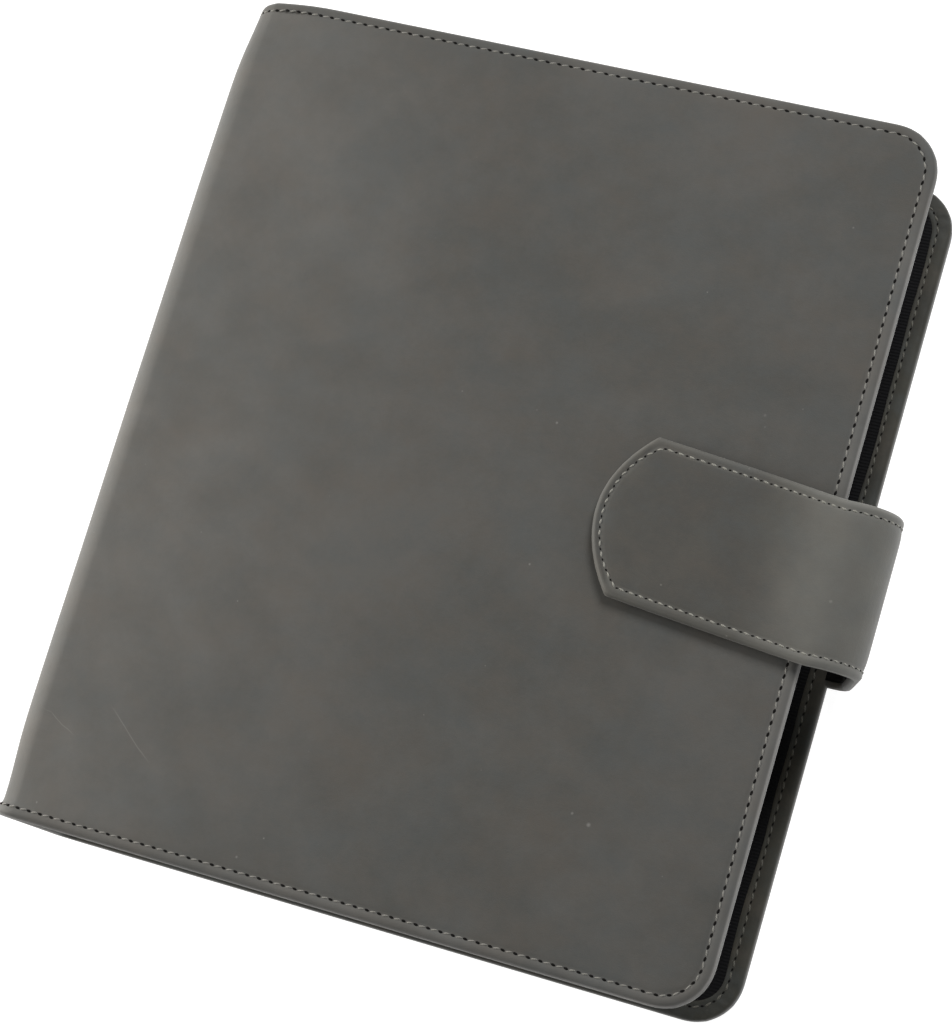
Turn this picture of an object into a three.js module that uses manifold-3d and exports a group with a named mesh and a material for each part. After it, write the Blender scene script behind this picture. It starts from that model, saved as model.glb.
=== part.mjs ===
// A refillable ring planner in soft leather, closed and lying on its back cover.
// Millimetres. +X runs from the spine to the fore edge, +Y to the head, +Z up.
// The working frame has its zero at the spine's outer face; the whole planner is moved at the end so
// that the origin lies at the middle of its footprint.

import * as THREE from 'three';
import { mergeVertices } from 'three/addons/utils/BufferGeometryUtils.js';
import Module from 'manifold-3d';

const wasm = await Module();
wasm.setup();

// Covers
const coverWidth = 197;
const coverHeight = 233;
const plannerThickness = 50;
const cornerRadius = 13;
const foldRadius = 8;
const leatherThickness = 1.4;
const boardThickness = 2;
const borderThickness = 1;
const borderWidth = 7;
const liningThickness = 0.6;
const rimRounding = 0.9;
const boardSetback = 1.4;
const liningSetback = 3;

// Clearances
const pieceGap = 0.3;
const slidingGap = 0.15;

// Ring mechanism, for six punched holes on the usual 19 and 70 mm spacing
const ringInnerRadius = 15;
const wireDiameter = 2.6;
const ringPitch = 19;
const ringGroupGap = 70;
const ringStemOffset = 5.6;
const ringArcEnd = THREE.MathUtils.degToRad(150);
const mouthSkew = THREE.MathUtils.degToRad(22);
const railWidth = 22;
const railHeight = 4.6;
const railPlate = 0.9;
const railMargin = 10.5;
const railShoulder = 0.9;
const ringLift = 1.2;
const leafWidth = 9.65;
const leafThickness = 0.8;
const leafHeight = 1.3;
const leafSetback = 8;
const slotLength = 4.6;
const slotWidth = 3.6;
const slotMargin = 0.45;
const leverPlate = 1.1;
const leverReach = 14;
const leverWidth = 14;
const leverFoot = 4.5;
const leverAxleLength = 19.5;
const rivetSetback = 16;
const rivetRadius = 1.8;
const rivetHeadRadius = 3.6;
const rivetHeadHeight = 0.8;

// Refills
const pageWidth = 148;
const pageHeight = 210;
const halfStack = 13;
const holeRadius = 3.2;
const holeInset = 8;
const dividerThickness = 0.5;
const dividerTabLength = 32;
const dividerTabReach = 6;
const dividerTabCentre = 62;
const lifterThickness = 1.1;
const lifterWidth = 104;
const lifterCorner = 14;

// Writing pad and its pocket inside the back cover
const padWidth = 136;
const padMargin = 14.5;
const padThickness = 4.7;
const padForeEdge = 181;
const pocketLeather = 0.9;
const pocketWidth = 62;
const pocketDip = 12;

// Card pockets inside the front cover
const cardPocketCount = 3;
const cardPocketWidth = 102;
const cardPocketForeEdge = 183;
const cardPocketHeight = 148;
const cardPocketStep = 22;
const cardPocketMargin = 10.5;
const cardPocketLeather = 0.6;
const thumbNotchRadius = 9;

// Strap
const strapWidth = 42;
const strapCentre = -3;
const strapLeather = 1.8;
const strapLining = 1.2;
const strapReach = 15.5;
const strapTopRadius = 8;
const strapRootRadius = 6;
const strapLean = THREE.MathUtils.degToRad(10);
const strapTipX = 138;
const strapTipRise = 9.5;
const strapRootHeight = 0.7;
const strapRimRounding = 0.8;
const strapLiningInset = 0.8;
const tongueLength = 8;
const tongueThickness = 1.2;
const tongueInset = 1.5;
const magnetRadius = 7.5;
const magnetThickness = 1;
const magnetFromTip = 20;

// Smoothness of the curves
const cornerSegments = 5;
const bendSegments = 4;
const wireSides = 8;
const wireSteps = 16;
const channelSteps = 36;
const rimSegments = 2;
const discSides = 24;

// Sizes that follow from the ones above
const coverThickness = leatherThickness + boardThickness + borderThickness;
const boardFloor = leatherThickness;
const boardTop = leatherThickness + boardThickness;
const liningTop = boardTop + liningThickness;
const halfHeight = coverHeight / 2;
const boardStart = foldRadius + boardSetback;
const liningStart = foldRadius - liningSetback;
const wireRadius = wireDiameter / 2;
const ringRadius = ringInnerRadius + wireRadius;
const ringHeight = railHeight + ringLift + ringInnerRadius;
const ringCentreX = liningTop + ringHeight;
const ringCentreZ = plannerThickness / 2;
const railHalf = railWidth / 2;
const railLength = coverHeight - 2 * railMargin;
const leafLength = railLength - 2 * leafSetback;
const rivetSpacing = railLength - 2 * rivetSetback;
const padHeight = coverHeight - 2 * padMargin;
const leverPivot = leverPlate + slidingGap;
const strapThickness = strapLeather + strapLining;
const strapOuterX = coverWidth + strapReach;
const strapTop = plannerThickness + pieceGap + strapThickness;
const strapUnder = plannerThickness + pieceGap;
const magnetX = strapTipX + magnetFromTip;

// The strap's side leans outwards, so it runs from the root's bend to the top's bend as their shared
// tangent. Each bend is split at its middle.
const topBendX = strapOuterX - strapTopRadius;
const topBendZ = strapTop - strapTopRadius;
const rootBendZ = strapRootHeight + strapRootRadius;
const rootBendX = topBendX + (strapTopRadius - strapRootRadius
  - Math.sin(strapLean) * (topBendZ - rootBendZ)) / Math.cos(strapLean);
const rootMitre = -(Math.PI / 2 + strapLean) / 2;
const topMitre = (Math.PI / 2 - strapLean) / 2;
const rootMitreGap = pieceGap / 2 / (strapRootRadius - strapThickness);
const topMitreGap = pieceGap / 2 / (strapTopRadius - strapThickness);
const ringPlaces = ringPositions();

// Finishes
const leatherFinish = { color: 0x5f5e59, roughness: 0.75, metalness: 0 };
const strapFinish = { color: 0x67655f, roughness: 0.72, metalness: 0 };
const liningFinish = { color: 0x17181a, roughness: 0.9, metalness: 0 };
const boardFinish = { color: 0x8c8272, roughness: 0.95, metalness: 0 };
const paperFinish = { color: 0xf1ecdf, roughness: 0.9, metalness: 0 };
const dividerFinish = { color: 0xb9b5a8, roughness: 0.6, metalness: 0 };
const lifterFinish = { color: 0x2c2e31, roughness: 0.4, metalness: 0 };
const nickelFinish = { color: 0xc3c5c8, roughness: 0.25, metalness: 1 };
const magnetFinish = { color: 0x8f9296, roughness: 0.4, metalness: 1 };

// Solids

function toSolid(geometry) {
  const bare = geometry.clone();
  bare.deleteAttribute('normal');
  bare.deleteAttribute('uv');
  const merged = mergeVertices(bare);
  return new wasm.Manifold(new wasm.Mesh({
    numProp: 3,
    vertProperties: new Float32Array(merged.attributes.position.array),
    triVerts: new Uint32Array(merged.index.array),
  }));
}

function toGeometry(solid) {
  const mesh = solid.getMesh();
  const geometry = new THREE.BufferGeometry();
  geometry.setAttribute('position', new THREE.BufferAttribute(mesh.vertProperties, 3));
  geometry.setIndex(new THREE.BufferAttribute(mesh.triVerts, 1));
  geometry.computeVertexNormals();
  return geometry;
}

function join(...geometries) {
  const solids = geometries.map(toSolid);
  return toGeometry(solids.reduce((whole, solid) => whole.add(solid)));
}

function cut(geometry, ...tools) {
  return toGeometry(tools.reduce((rest, tool) => rest.subtract(toSolid(tool)), toSolid(geometry)));
}

function common(first, second) {
  return toGeometry(toSolid(first).intersect(toSolid(second)));
}

// A box between two opposite corners.
function block(x0, y0, z0, x1, y1, z1) {
  const box = new THREE.BoxGeometry(x1 - x0, y1 - y0, z1 - z0);
  return box.translate((x0 + x1) / 2, (y0 + y1) / 2, (z0 + z1) / 2);
}

// A flat piece seen from above: the outline lies in X and Y, the thickness goes up from z0.
function slab(shape, z0, thickness, rounding = 0) {
  const geometry = new THREE.ExtrudeGeometry(shape, {
    depth: thickness - 2 * rounding,
    curveSegments: cornerSegments,
    bevelEnabled: rounding > 0,
    bevelSize: rounding,
    bevelThickness: rounding,
    bevelOffset: -rounding,
    bevelSegments: rimSegments,
  });
  return geometry.translate(0, 0, z0 + rounding);
}

// A piece of constant section along the height: the outline is given in X and Z.
function bar(shape, length, middle = 0, segments = bendSegments) {
  const geometry = new THREE.ExtrudeGeometry(shape, {
    depth: length,
    curveSegments: segments,
    bevelEnabled: false,
  });
  return geometry.rotateX(Math.PI / 2).translate(0, middle + length / 2, 0);
}

// A round piece with its axis along Z.
function disc(radius, x, y, z0, z1) {
  const cylinder = new THREE.CylinderGeometry(radius, radius, z1 - z0, discSides);
  return cylinder.rotateX(Math.PI / 2).translate(x, y, (z0 + z1) / 2);
}

function piece(name, geometry, finish) {
  const mesh = new THREE.Mesh(geometry, new THREE.MeshStandardMaterial(finish));
  mesh.name = name;
  return mesh;
}

function groupOf(...children) {
  const group = new THREE.Group();
  group.add(...children);
  return group;
}

// Covers

// A cover's outline from a straight spine side at startX, set in by inset on the other three sides.
function coverShape(startX, inset) {
  const right = coverWidth - inset;
  const half = halfHeight - inset;
  const radius = Math.max(cornerRadius - inset, rimRounding);
  const shape = new THREE.Shape();
  shape.moveTo(startX, -half);
  shape.lineTo(right - radius, -half);
  shape.absarc(right - radius, -half + radius, radius, -Math.PI / 2, 0);
  shape.lineTo(right, half - radius);
  shape.absarc(right - radius, half - radius, radius, 0, Math.PI / 2);
  shape.lineTo(startX, half);
  shape.closePath();
  return shape;
}

function rectangle(x0, y0, x1, y1) {
  const shape = new THREE.Shape();
  shape.moveTo(x0, y0);
  shape.lineTo(x1, y0);
  shape.lineTo(x1, y1);
  shape.lineTo(x0, y1);
  shape.closePath();
  return shape;
}

// The leather's bend from a flat panel to the mitre at 45 degrees, as a section in X and Z.
// The bend's outer radius is the fold's, and its middle lies foldRadius from both outer faces.
function foldStrip() {
  const inner = foldRadius - leatherThickness;
  const mitre = -0.75 * Math.PI + pieceGap / 2 / inner;
  const flatEnd = foldRadius + leatherThickness;
  const section = new THREE.Shape();
  section.moveTo(flatEnd, 0);
  section.lineTo(foldRadius, 0);
  section.absarc(foldRadius, foldRadius, foldRadius, -Math.PI / 2, mitre, true);
  section.absarc(foldRadius, foldRadius, inner, mitre, -Math.PI / 2, false);
  section.lineTo(flatEnd, leatherThickness);
  section.closePath();
  return bar(section, coverHeight);
}

// Leather round a cover's board: outer face down, the edges turned in over the board as a border.
function coverLeather() {
  const whole = slab(coverShape(0, 0), 0, coverThickness, rimRounding);
  const spineSide = block(-foldRadius, -coverHeight, -1, foldRadius, coverHeight, coverThickness + 1);
  const boardRoom = slab(coverShape(0, leatherThickness), boardFloor, boardThickness);
  const window = slab(coverShape(0, borderWidth), boardFloor, coverThickness);
  return join(cut(whole, spineSide, boardRoom, window), foldStrip());
}

// Outline for boards, set back from the leather's turned edge by the sliding gap.
function coverBoard() {
  return slab(coverShape(boardStart, leatherThickness + slidingGap), boardFloor, boardThickness);
}

function coverLining() {
  return slab(coverShape(liningStart, borderWidth + slidingGap), boardTop, liningThickness);
}

// Back cover

// The tongue of the strap passes through the fore-edge wall into a notch in the board.
function tongueRoom(fromX, toX) {
  const half = strapWidth / 2 - tongueInset + slidingGap;
  return block(fromX, strapCentre - half, boardFloor, toX, strapCentre + half,
    boardFloor + tongueThickness + 2 * slidingGap);
}

function strapRootSection(depth, under, startX) {
  const mitre = rootMitre - rootMitreGap;
  const outerRadius = strapRootRadius - depth;
  const innerRadius = strapRootRadius - under;
  const section = new THREE.Shape();
  section.moveTo(startX, rootBendZ - outerRadius);
  section.lineTo(rootBendX, rootBendZ - outerRadius);
  section.absarc(rootBendX, rootBendZ, outerRadius, -Math.PI / 2, mitre, false);
  section.absarc(rootBendX, rootBendZ, innerRadius, mitre, -Math.PI / 2, true);
  section.lineTo(startX, rootBendZ - innerRadius);
  section.closePath();
  return section;
}

function strapRootLeather() {
  const startX = coverWidth + pieceGap;
  const section = strapRootSection(0, strapLeather, startX);
  const half = strapWidth / 2 - tongueInset;
  const tongueFloor = boardFloor + slidingGap;
  const tongueEnd = startX + strapLeather / 2;
  const tongue = block(coverWidth - tongueLength, strapCentre - half, tongueFloor,
    tongueEnd, strapCentre + half, tongueFloor + tongueThickness);
  return join(bar(section, strapWidth, strapCentre), tongue);
}

function strapRootLining() {
  const startX = coverWidth + pieceGap + strapLeather / 2 + pieceGap;
  const section = strapRootSection(strapLeather, strapThickness, startX);
  return bar(section, strapWidth - 2 * strapLiningInset, strapCentre);
}

function notepad() {
  const shape = rectangle(padForeEdge - padWidth, -padHeight / 2, padForeEdge, padHeight / 2);
  return slab(shape, liningTop, padThickness);
}

// A leather pocket over the pad's fore part, open towards the spine with a curved edge.
function pocketShape(inset) {
  const right = padForeEdge + pieceGap + pocketLeather - inset;
  const left = padForeEdge - pocketWidth;
  const half = padHeight / 2 + pieceGap + pocketLeather - inset;
  const shape = new THREE.Shape();
  shape.moveTo(left, -half);
  shape.lineTo(right, -half);
  shape.lineTo(right, half);
  shape.lineTo(left, half);
  shape.quadraticCurveTo(left + 2 * pocketDip, 0, left, -half);
  return shape;
}

function padPocket() {
  const room = padThickness + pieceGap;
  const outer = slab(pocketShape(0), liningTop, room + pocketLeather);
  const half = padHeight / 2 + pieceGap;
  const inner = block(0, -half, liningTop - 1, padForeEdge + pieceGap, half, liningTop + room);
  return cut(outer, inner);
}

function backCover() {
  const slot = tongueRoom(coverWidth - tongueLength / 2, coverWidth + 1);
  const notch = tongueRoom(coverWidth - tongueLength - pieceGap, coverWidth + 1);
  return groupOf(
    piece('back_leather', cut(coverLeather(), slot), leatherFinish),
    piece('back_board', cut(coverBoard(), notch), boardFinish),
    piece('back_lining', coverLining(), liningFinish),
    piece('notepad', notepad(), paperFinish),
    piece('pad_pocket', padPocket(), leatherFinish),
    piece('strap_root', strapRootLeather(), strapFinish),
    piece('strap_root_lining', strapRootLining(), liningFinish),
  );
}

// Front cover, modelled like the back cover with its outer face down and then turned over

// Each pocket is a flat layer with a thumb notch; the foot ends lie together and the tops step down.
function cardPocket(index) {
  const foot = halfHeight - cardPocketMargin;
  const top = foot - cardPocketHeight + index * cardPocketStep;
  const left = cardPocketForeEdge - cardPocketWidth;
  const middle = cardPocketForeEdge - cardPocketWidth / 2;
  const shape = new THREE.Shape();
  shape.moveTo(left, foot);
  shape.lineTo(left, top);
  shape.lineTo(middle - thumbNotchRadius, top);
  shape.absarc(middle, top, thumbNotchRadius, Math.PI, 0, true);
  shape.lineTo(cardPocketForeEdge, top);
  shape.lineTo(cardPocketForeEdge, foot);
  shape.closePath();
  return slab(shape, liningTop + index * cardPocketLeather, cardPocketLeather);
}

function frontCover() {
  const magnetFloor = boardTop - magnetThickness;
  const magnetY = -strapCentre;
  const magnetRoom = disc(magnetRadius + slidingGap, magnetX, magnetY, magnetFloor, boardTop + 1);
  const group = groupOf(
    piece('front_leather', coverLeather(), leatherFinish),
    piece('front_board', cut(coverBoard(), magnetRoom), boardFinish),
    piece('front_lining', coverLining(), liningFinish),
    piece('cover_magnet', disc(magnetRadius, magnetX, magnetY, magnetFloor, boardTop), magnetFinish),
  );
  for (let index = 0; index < cardPocketCount; index += 1) {
    group.add(piece(`card_pocket_${index + 1}`, cardPocket(index), leatherFinish));
  }
  group.rotation.x = Math.PI;
  group.position.z = plannerThickness;
  return group;
}

// Spine, modelled flat: X across from the back cover to the front, Z from the outer face inwards

function spineShape(startX, inset) {
  const half = halfHeight - inset;
  return rectangle(startX, -half, plannerThickness - startX, half);
}

function spineLeather() {
  const whole = slab(spineShape(0, 0), 0, coverThickness, rimRounding);
  const reach = coverHeight;
  const lowSide = block(-foldRadius, -reach, -1, foldRadius, reach, coverThickness + 1);
  const highStart = plannerThickness - foldRadius;
  const highSide = block(highStart, -reach, -1, plannerThickness + foldRadius, reach, coverThickness + 1);
  const boardRoom = slab(spineShape(0, leatherThickness), boardFloor, boardThickness);
  const window = slab(spineShape(0, borderWidth), boardFloor, coverThickness);
  const highStrip = foldStrip().rotateZ(Math.PI).translate(plannerThickness, 0, 0);
  return join(cut(whole, lowSide, highSide, boardRoom, window), foldStrip(), highStrip);
}

function rivetHoles(radius, z0, z1) {
  const middle = plannerThickness / 2;
  return [-1, 1].map((side) => disc(radius, middle, side * rivetSpacing / 2, z0, z1));
}

function spineBoard() {
  const shape = spineShape(boardStart, leatherThickness + slidingGap);
  const board = slab(shape, boardFloor, boardThickness);
  const shanks = rivetHoles(rivetRadius + slidingGap, 0, coverThickness);
  const heads = rivetHoles(rivetHeadRadius + slidingGap, 0, boardFloor + rivetHeadHeight + slidingGap);
  return cut(board, ...shanks, ...heads);
}

function spineLining() {
  const lining = slab(spineShape(liningStart, borderWidth + slidingGap), boardTop, liningThickness);
  return cut(lining, ...rivetHoles(rivetRadius + slidingGap, 0, coverThickness));
}

// Ring mechanism, in a frame on the spine's lining: X across the rail, Y along it, Z towards the pages

// Six ring places in two groups of three.
function ringPositions() {
  const positions = [];
  for (let index = 0; index < 3; index += 1) {
    positions.push(ringGroupGap / 2 + index * ringPitch);
    positions.push(-ringGroupGap / 2 - index * ringPitch);
  }
  return positions.sort((first, second) => first - second);
}

// One side of the rail's arched section, used for the outside and, set in, for the inside.
function railArch(shape, half, height, fromRight) {
  const side = fromRight ? 1 : -1;
  const shoulderX = half - railShoulder;
  const shoulderZ = height - railShoulder;
  const kneeZ = shoulderZ - railShoulder / 2;
  const crownPull = 2 * height - shoulderZ;
  shape.lineTo(side * half, 0);
  shape.lineTo(side * half, kneeZ);
  shape.quadraticCurveTo(side * half, shoulderZ, side * shoulderX, shoulderZ);
  shape.quadraticCurveTo(0, crownPull, -side * shoulderX, shoulderZ);
  shape.quadraticCurveTo(-side * half, shoulderZ, -side * half, kneeZ);
  shape.lineTo(-side * half, 0);
}

function ringRail() {
  const section = new THREE.Shape();
  section.moveTo(railHalf, 0);
  railArch(section, railHalf, railHeight, true);
  railArch(section, railHalf - railPlate, railHeight - railPlate, false);
  section.closePath();
  const slots = ringPlaces.flatMap((y) => [-1, 1].map((side) => {
    const near = side * (ringStemOffset - wireRadius - slotMargin);
    const far = near + side * slotLength;
    return block(Math.min(near, far), y - slotWidth / 2, railHeight / 2,
      Math.max(near, far), y + slotWidth / 2, railHeight + 1);
  }));
  const rivets = [-1, 1].map((side) => {
    return disc(rivetRadius + slidingGap, 0, side * rivetSpacing / 2, 0, railHeight + 1);
  });
  return cut(bar(section, railLength, 0, cornerSegments), ...slots, ...rivets);
}

// A rivet from its head in the spine board up to a low dome on the rail's crown, turned about Z.
function railRivet() {
  const foot = boardFloor - liningTop;
  const points = [
    new THREE.Vector2(0, foot),
    new THREE.Vector2(rivetHeadRadius, foot),
    new THREE.Vector2(rivetHeadRadius, foot + rivetHeadHeight),
    new THREE.Vector2(rivetRadius, foot + rivetHeadHeight),
    new THREE.Vector2(rivetRadius, railHeight + slidingGap),
    new THREE.Vector2(rivetHeadRadius, railHeight + slidingGap),
    new THREE.Vector2(rivetRadius, railHeight + rivetHeadHeight),
    new THREE.Vector2(0, railHeight + rivetHeadHeight + slidingGap / 2),
  ];
  return new THREE.LatheGeometry(points, discSides).rotateX(Math.PI / 2);
}

// The round part of a half ring: t runs from the stem's end of the arc to just past the mouth.
class RingArc extends THREE.Curve {
  constructor(overrun) {
    super();
    this.overrun = overrun;
  }

  getPoint(t, target = new THREE.Vector3()) {
    const angle = THREE.MathUtils.lerp(ringArcEnd, -this.overrun, t);
    return target.set(ringRadius * Math.sin(angle), 0, ringHeight + ringRadius * Math.cos(angle));
  }
}

// Half a ring with its swaged stem, cut at the mouth by a skewed plane so that the two halves mate.
function halfRing() {
  const arc = new RingArc(2 * mouthSkew / ringRadius * wireRadius);
  const arcStart = arc.getPoint(0);
  const slope = Math.tan(Math.PI - ringArcEnd);
  const kneeZ = arcStart.z - (arcStart.x - ringStemOffset) * slope;
  const knee = new THREE.Vector3(ringStemOffset, 0, kneeZ);
  const stemTop = new THREE.Vector3(ringStemOffset, 0, kneeZ - wireRadius);
  const stemFoot = new THREE.Vector3(ringStemOffset, 0, leafHeight);
  const path = new THREE.CurvePath();
  path.add(new THREE.LineCurve3(stemFoot, stemTop));
  path.add(new THREE.QuadraticBezierCurve3(stemTop, knee, arcStart));
  path.add(arc);
  const section = new THREE.Shape().absarc(0, 0, wireRadius, 0, 2 * Math.PI);
  const wire = new THREE.ExtrudeGeometry(section, {
    steps: wireSteps,
    curveSegments: wireSides / 2,
    extrudePath: path,
  });
  const size = 4 * wireDiameter;
  const mouth = block(-size, -size, -size, slidingGap, size, size);
  mouth.rotateZ(-mouthSkew).translate(0, 0, ringHeight + ringRadius);
  return cut(wire, mouth);
}

// The leaf plate that carries six half rings: one long edge lies at the middle line of the rail.
function ringLeaf() {
  const leaf = block(slidingGap, -leafLength / 2, leafHeight, leafWidth, leafLength / 2,
    leafHeight + leafThickness);
  const above = leafHeight + leafThickness + 1;
  const stems = ringPlaces.map((y) => disc(wireRadius + slidingGap, ringStemOffset, y, 0, above));
  const rivets = [-1, 1].map((side) => {
    return disc(rivetRadius + 3 * pieceGap, 0, side * rivetSpacing / 2, 0, above);
  });
  return cut(leaf, ...stems, ...rivets);
}

// One half of the mechanism: the leaf and its half rings, to the +X side of the rail.
function ringHalf(side) {
  const group = groupOf(piece(`${side}_leaf`, ringLeaf(), nickelFinish));
  const wire = halfRing();
  ringPlaces.forEach((y, index) => {
    const ring = piece(`${side}_ring_${index + 1}`, wire, nickelFinish);
    ring.position.y = y;
    group.add(ring);
  });
  return group;
}

// The lever at an end of the rail: a foot under the rail, an axle across it and a rounded finger tab.
function lever() {
  const section = new THREE.Shape();
  section.moveTo(-leverFoot, -leverPivot);
  section.lineTo(0, -leverPivot);
  section.absarc(0, 0, leverPivot, -Math.PI / 2, 0, false);
  section.lineTo(leverPivot, leverReach - leverPivot);
  section.lineTo(leverPivot - leverPlate, leverReach - leverPivot);
  section.lineTo(leverPivot - leverPlate, leverPlate - leverPivot);
  section.lineTo(-leverFoot, leverPlate - leverPivot);
  section.closePath();
  const bent = bar(section, leverWidth).rotateZ(Math.PI / 2);
  const radius = leverWidth / 2;
  const front = new THREE.Shape();
  const tabTop = leverReach - leverPivot;
  front.moveTo(-radius, -2 * leverPivot);
  front.lineTo(radius, -2 * leverPivot);
  front.lineTo(radius, tabTop - radius);
  front.absarc(0, tabTop - radius, radius, 0, Math.PI, false);
  front.closePath();
  const axleRadius = leverPivot - slidingGap;
  const axle = new THREE.CylinderGeometry(axleRadius, axleRadius, leverAxleLength, 2 * wireSides);
  axle.rotateZ(Math.PI / 2);
  return join(common(bent, bar(front, 4 * leverReach, 0, 2 * cornerSegments)), axle);
}

function mechanism() {
  const tailLever = piece('tail_lever', lever(), nickelFinish);
  tailLever.position.set(0, railLength / 2 + pieceGap, leverPivot + slidingGap);
  const headLever = piece('head_lever', lever(), nickelFinish);
  headLever.position.set(0, -railLength / 2 - pieceGap, leverPivot + slidingGap);
  headLever.rotation.z = Math.PI;
  const headRivet = piece('head_rivet', railRivet(), nickelFinish);
  headRivet.position.y = -rivetSpacing / 2;
  const tailRivet = piece('tail_rivet', railRivet(), nickelFinish);
  tailRivet.position.y = rivetSpacing / 2;
  const upperHalf = ringHalf('upper');
  const lowerHalf = ringHalf('lower');
  lowerHalf.rotation.z = Math.PI;
  const rail = piece('ring_rail', ringRail(), nickelFinish);
  const group = groupOf(rail, upperHalf, lowerHalf, headLever, tailLever, headRivet, tailRivet);
  group.position.set(plannerThickness / 2, 0, liningTop);
  return group;
}

// The flat spine is turned so that its X stands up and its Z points to the fore edge.
function spine() {
  const group = groupOf(
    piece('spine_leather', spineLeather(), leatherFinish),
    piece('spine_board', spineBoard(), boardFinish),
    piece('spine_lining', spineLining(), liningFinish),
    mechanism(),
  );
  group.quaternion.setFromAxisAngle(new THREE.Vector3(1, 0, 1).normalize(), Math.PI);
  return group;
}

// Refills, in a frame at the rings' middle. The rear half hangs below it and the front half is the
// same set turned over. Each sheet's holes follow the ring, so the stack's edges are arcs.

function ringChannels() {
  const radius = holeRadius / Math.cos(Math.PI / wireSides);
  return ringPlaces.map((y) => {
    const torus = new THREE.TorusGeometry(ringRadius, radius, wireSides, channelSteps);
    return torus.rotateX(Math.PI / 2).translate(0, y, 0);
  });
}

function arcAt(depth) {
  return Math.sqrt(ringRadius ** 2 - depth ** 2);
}

function pageStack() {
  const top = slidingGap + dividerThickness;
  const bottom = top + halfStack;
  const startAngle = Math.asin(top / ringRadius);
  const endAngle = Math.asin(bottom / ringRadius);
  const section = new THREE.Shape();
  section.moveTo(arcAt(top) - holeInset, -top);
  section.absarc(-holeInset, 0, ringRadius, -startAngle, -endAngle, true);
  section.absarc(pageWidth - holeInset, 0, ringRadius, -endAngle, -startAngle, false);
  section.closePath();
  return cut(bar(section, pageHeight, 0, cornerSegments), ...ringChannels());
}

// A tabbed sheet that lies at the middle of the pages.
function divider() {
  const left = ringRadius - holeInset;
  const right = left + pageWidth;
  const half = pageHeight / 2;
  const tabLow = dividerTabCentre - dividerTabLength / 2;
  const tabHigh = dividerTabCentre + dividerTabLength / 2;
  const shape = new THREE.Shape();
  shape.moveTo(left, -half);
  shape.lineTo(right, -half);
  shape.lineTo(right, tabLow);
  shape.quadraticCurveTo(right + dividerTabReach, tabLow, right + dividerTabReach, tabLow + dividerTabReach);
  shape.lineTo(right + dividerTabReach, tabHigh - dividerTabReach);
  shape.quadraticCurveTo(right + dividerTabReach, tabHigh, right, tabHigh);
  shape.lineTo(right, half);
  shape.lineTo(left, half);
  shape.closePath();
  return cut(slab(shape, -slidingGap - dividerThickness, dividerThickness), ...ringChannels());
}

// The stiff plastic sheet outside the pages that lifts them over the rail as the planner opens.
function pageLifter() {
  const top = slidingGap + dividerThickness + halfStack;
  const left = arcAt(top + lifterThickness / 2) - holeInset;
  const right = left + lifterWidth;
  const half = pageHeight / 2;
  const shape = new THREE.Shape();
  shape.moveTo(left, -half);
  shape.lineTo(right - lifterCorner, -half);
  shape.absarc(right - lifterCorner, -half + lifterCorner, lifterCorner, -Math.PI / 2, 0, false);
  shape.lineTo(right, half - lifterCorner);
  shape.absarc(right - lifterCorner, half - lifterCorner, lifterCorner, 0, Math.PI / 2, false);
  shape.lineTo(left, half);
  shape.closePath();
  return cut(slab(shape, -top - lifterThickness, lifterThickness), ...ringChannels());
}

function refill(side) {
  const group = groupOf(
    piece(`${side}_pages`, pageStack(), paperFinish),
    piece(`${side}_divider`, divider(), dividerFinish),
    piece(`${side}_lifter`, pageLifter(), lifterFinish),
  );
  group.position.set(ringCentreX, 0, ringCentreZ);
  return group;
}

function refills() {
  const rear = refill('rear');
  const front = refill('front');
  front.rotation.x = Math.PI;
  return groupOf(rear, front);
}

// Strap

// The side of the strap between its two bends, each cut at 45 degrees.
function strapSideSection(depth, under) {
  const rootStart = rootMitre + rootMitreGap;
  const topEnd = topMitre - topMitreGap;
  const section = new THREE.Shape();
  section.absarc(rootBendX, rootBendZ, strapRootRadius - depth, rootStart, -strapLean, false);
  section.absarc(topBendX, topBendZ, strapTopRadius - depth, -strapLean, topEnd, false);
  section.absarc(topBendX, topBendZ, strapTopRadius - under, topEnd, -strapLean, true);
  section.absarc(rootBendX, rootBendZ, strapRootRadius - under, -strapLean, rootStart, true);
  section.closePath();
  return section;
}

function strapSide() {
  const leather = strapSideSection(0, strapLeather);
  const lining = strapSideSection(strapLeather, strapThickness);
  const liningWidth = strapWidth - 2 * strapLiningInset;
  return groupOf(
    piece('strap_side', bar(leather, strapWidth, strapCentre), strapFinish),
    piece('strap_side_lining', bar(lining, liningWidth, strapCentre), liningFinish),
  );
}

// The tab seen from above: straight sides and a shallow round tip.
function tabShape(inset) {
  const half = strapWidth / 2 - inset;
  const tip = strapTipX + inset;
  const shoulder = tip + strapTipRise;
  const radius = (half ** 2 + strapTipRise ** 2) / (2 * strapTipRise);
  const spread = Math.asin(half / radius);
  const shape = new THREE.Shape();
  shape.moveTo(topBendX, -half);
  shape.lineTo(topBendX, half);
  shape.lineTo(shoulder, half);
  shape.absarc(tip + radius, 0, radius, Math.PI - spread, Math.PI + spread, false);
  shape.closePath();
  return shape;
}

// The tab's share of the upper bend, from the mitre to the flat.
function tabBend(depth, under, width) {
  const mitre = topMitre + topMitreGap;
  const outerRadius = strapTopRadius - depth;
  const innerRadius = strapTopRadius - under;
  const overlap = topBendX - strapLeather;
  const section = new THREE.Shape();
  section.absarc(topBendX, topBendZ, outerRadius, mitre, Math.PI / 2, false);
  section.lineTo(overlap, topBendZ + outerRadius);
  section.lineTo(overlap, topBendZ + innerRadius);
  section.absarc(topBendX, topBendZ, innerRadius, Math.PI / 2, mitre, true);
  section.closePath();
  return bar(section, width, strapCentre);
}

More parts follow.
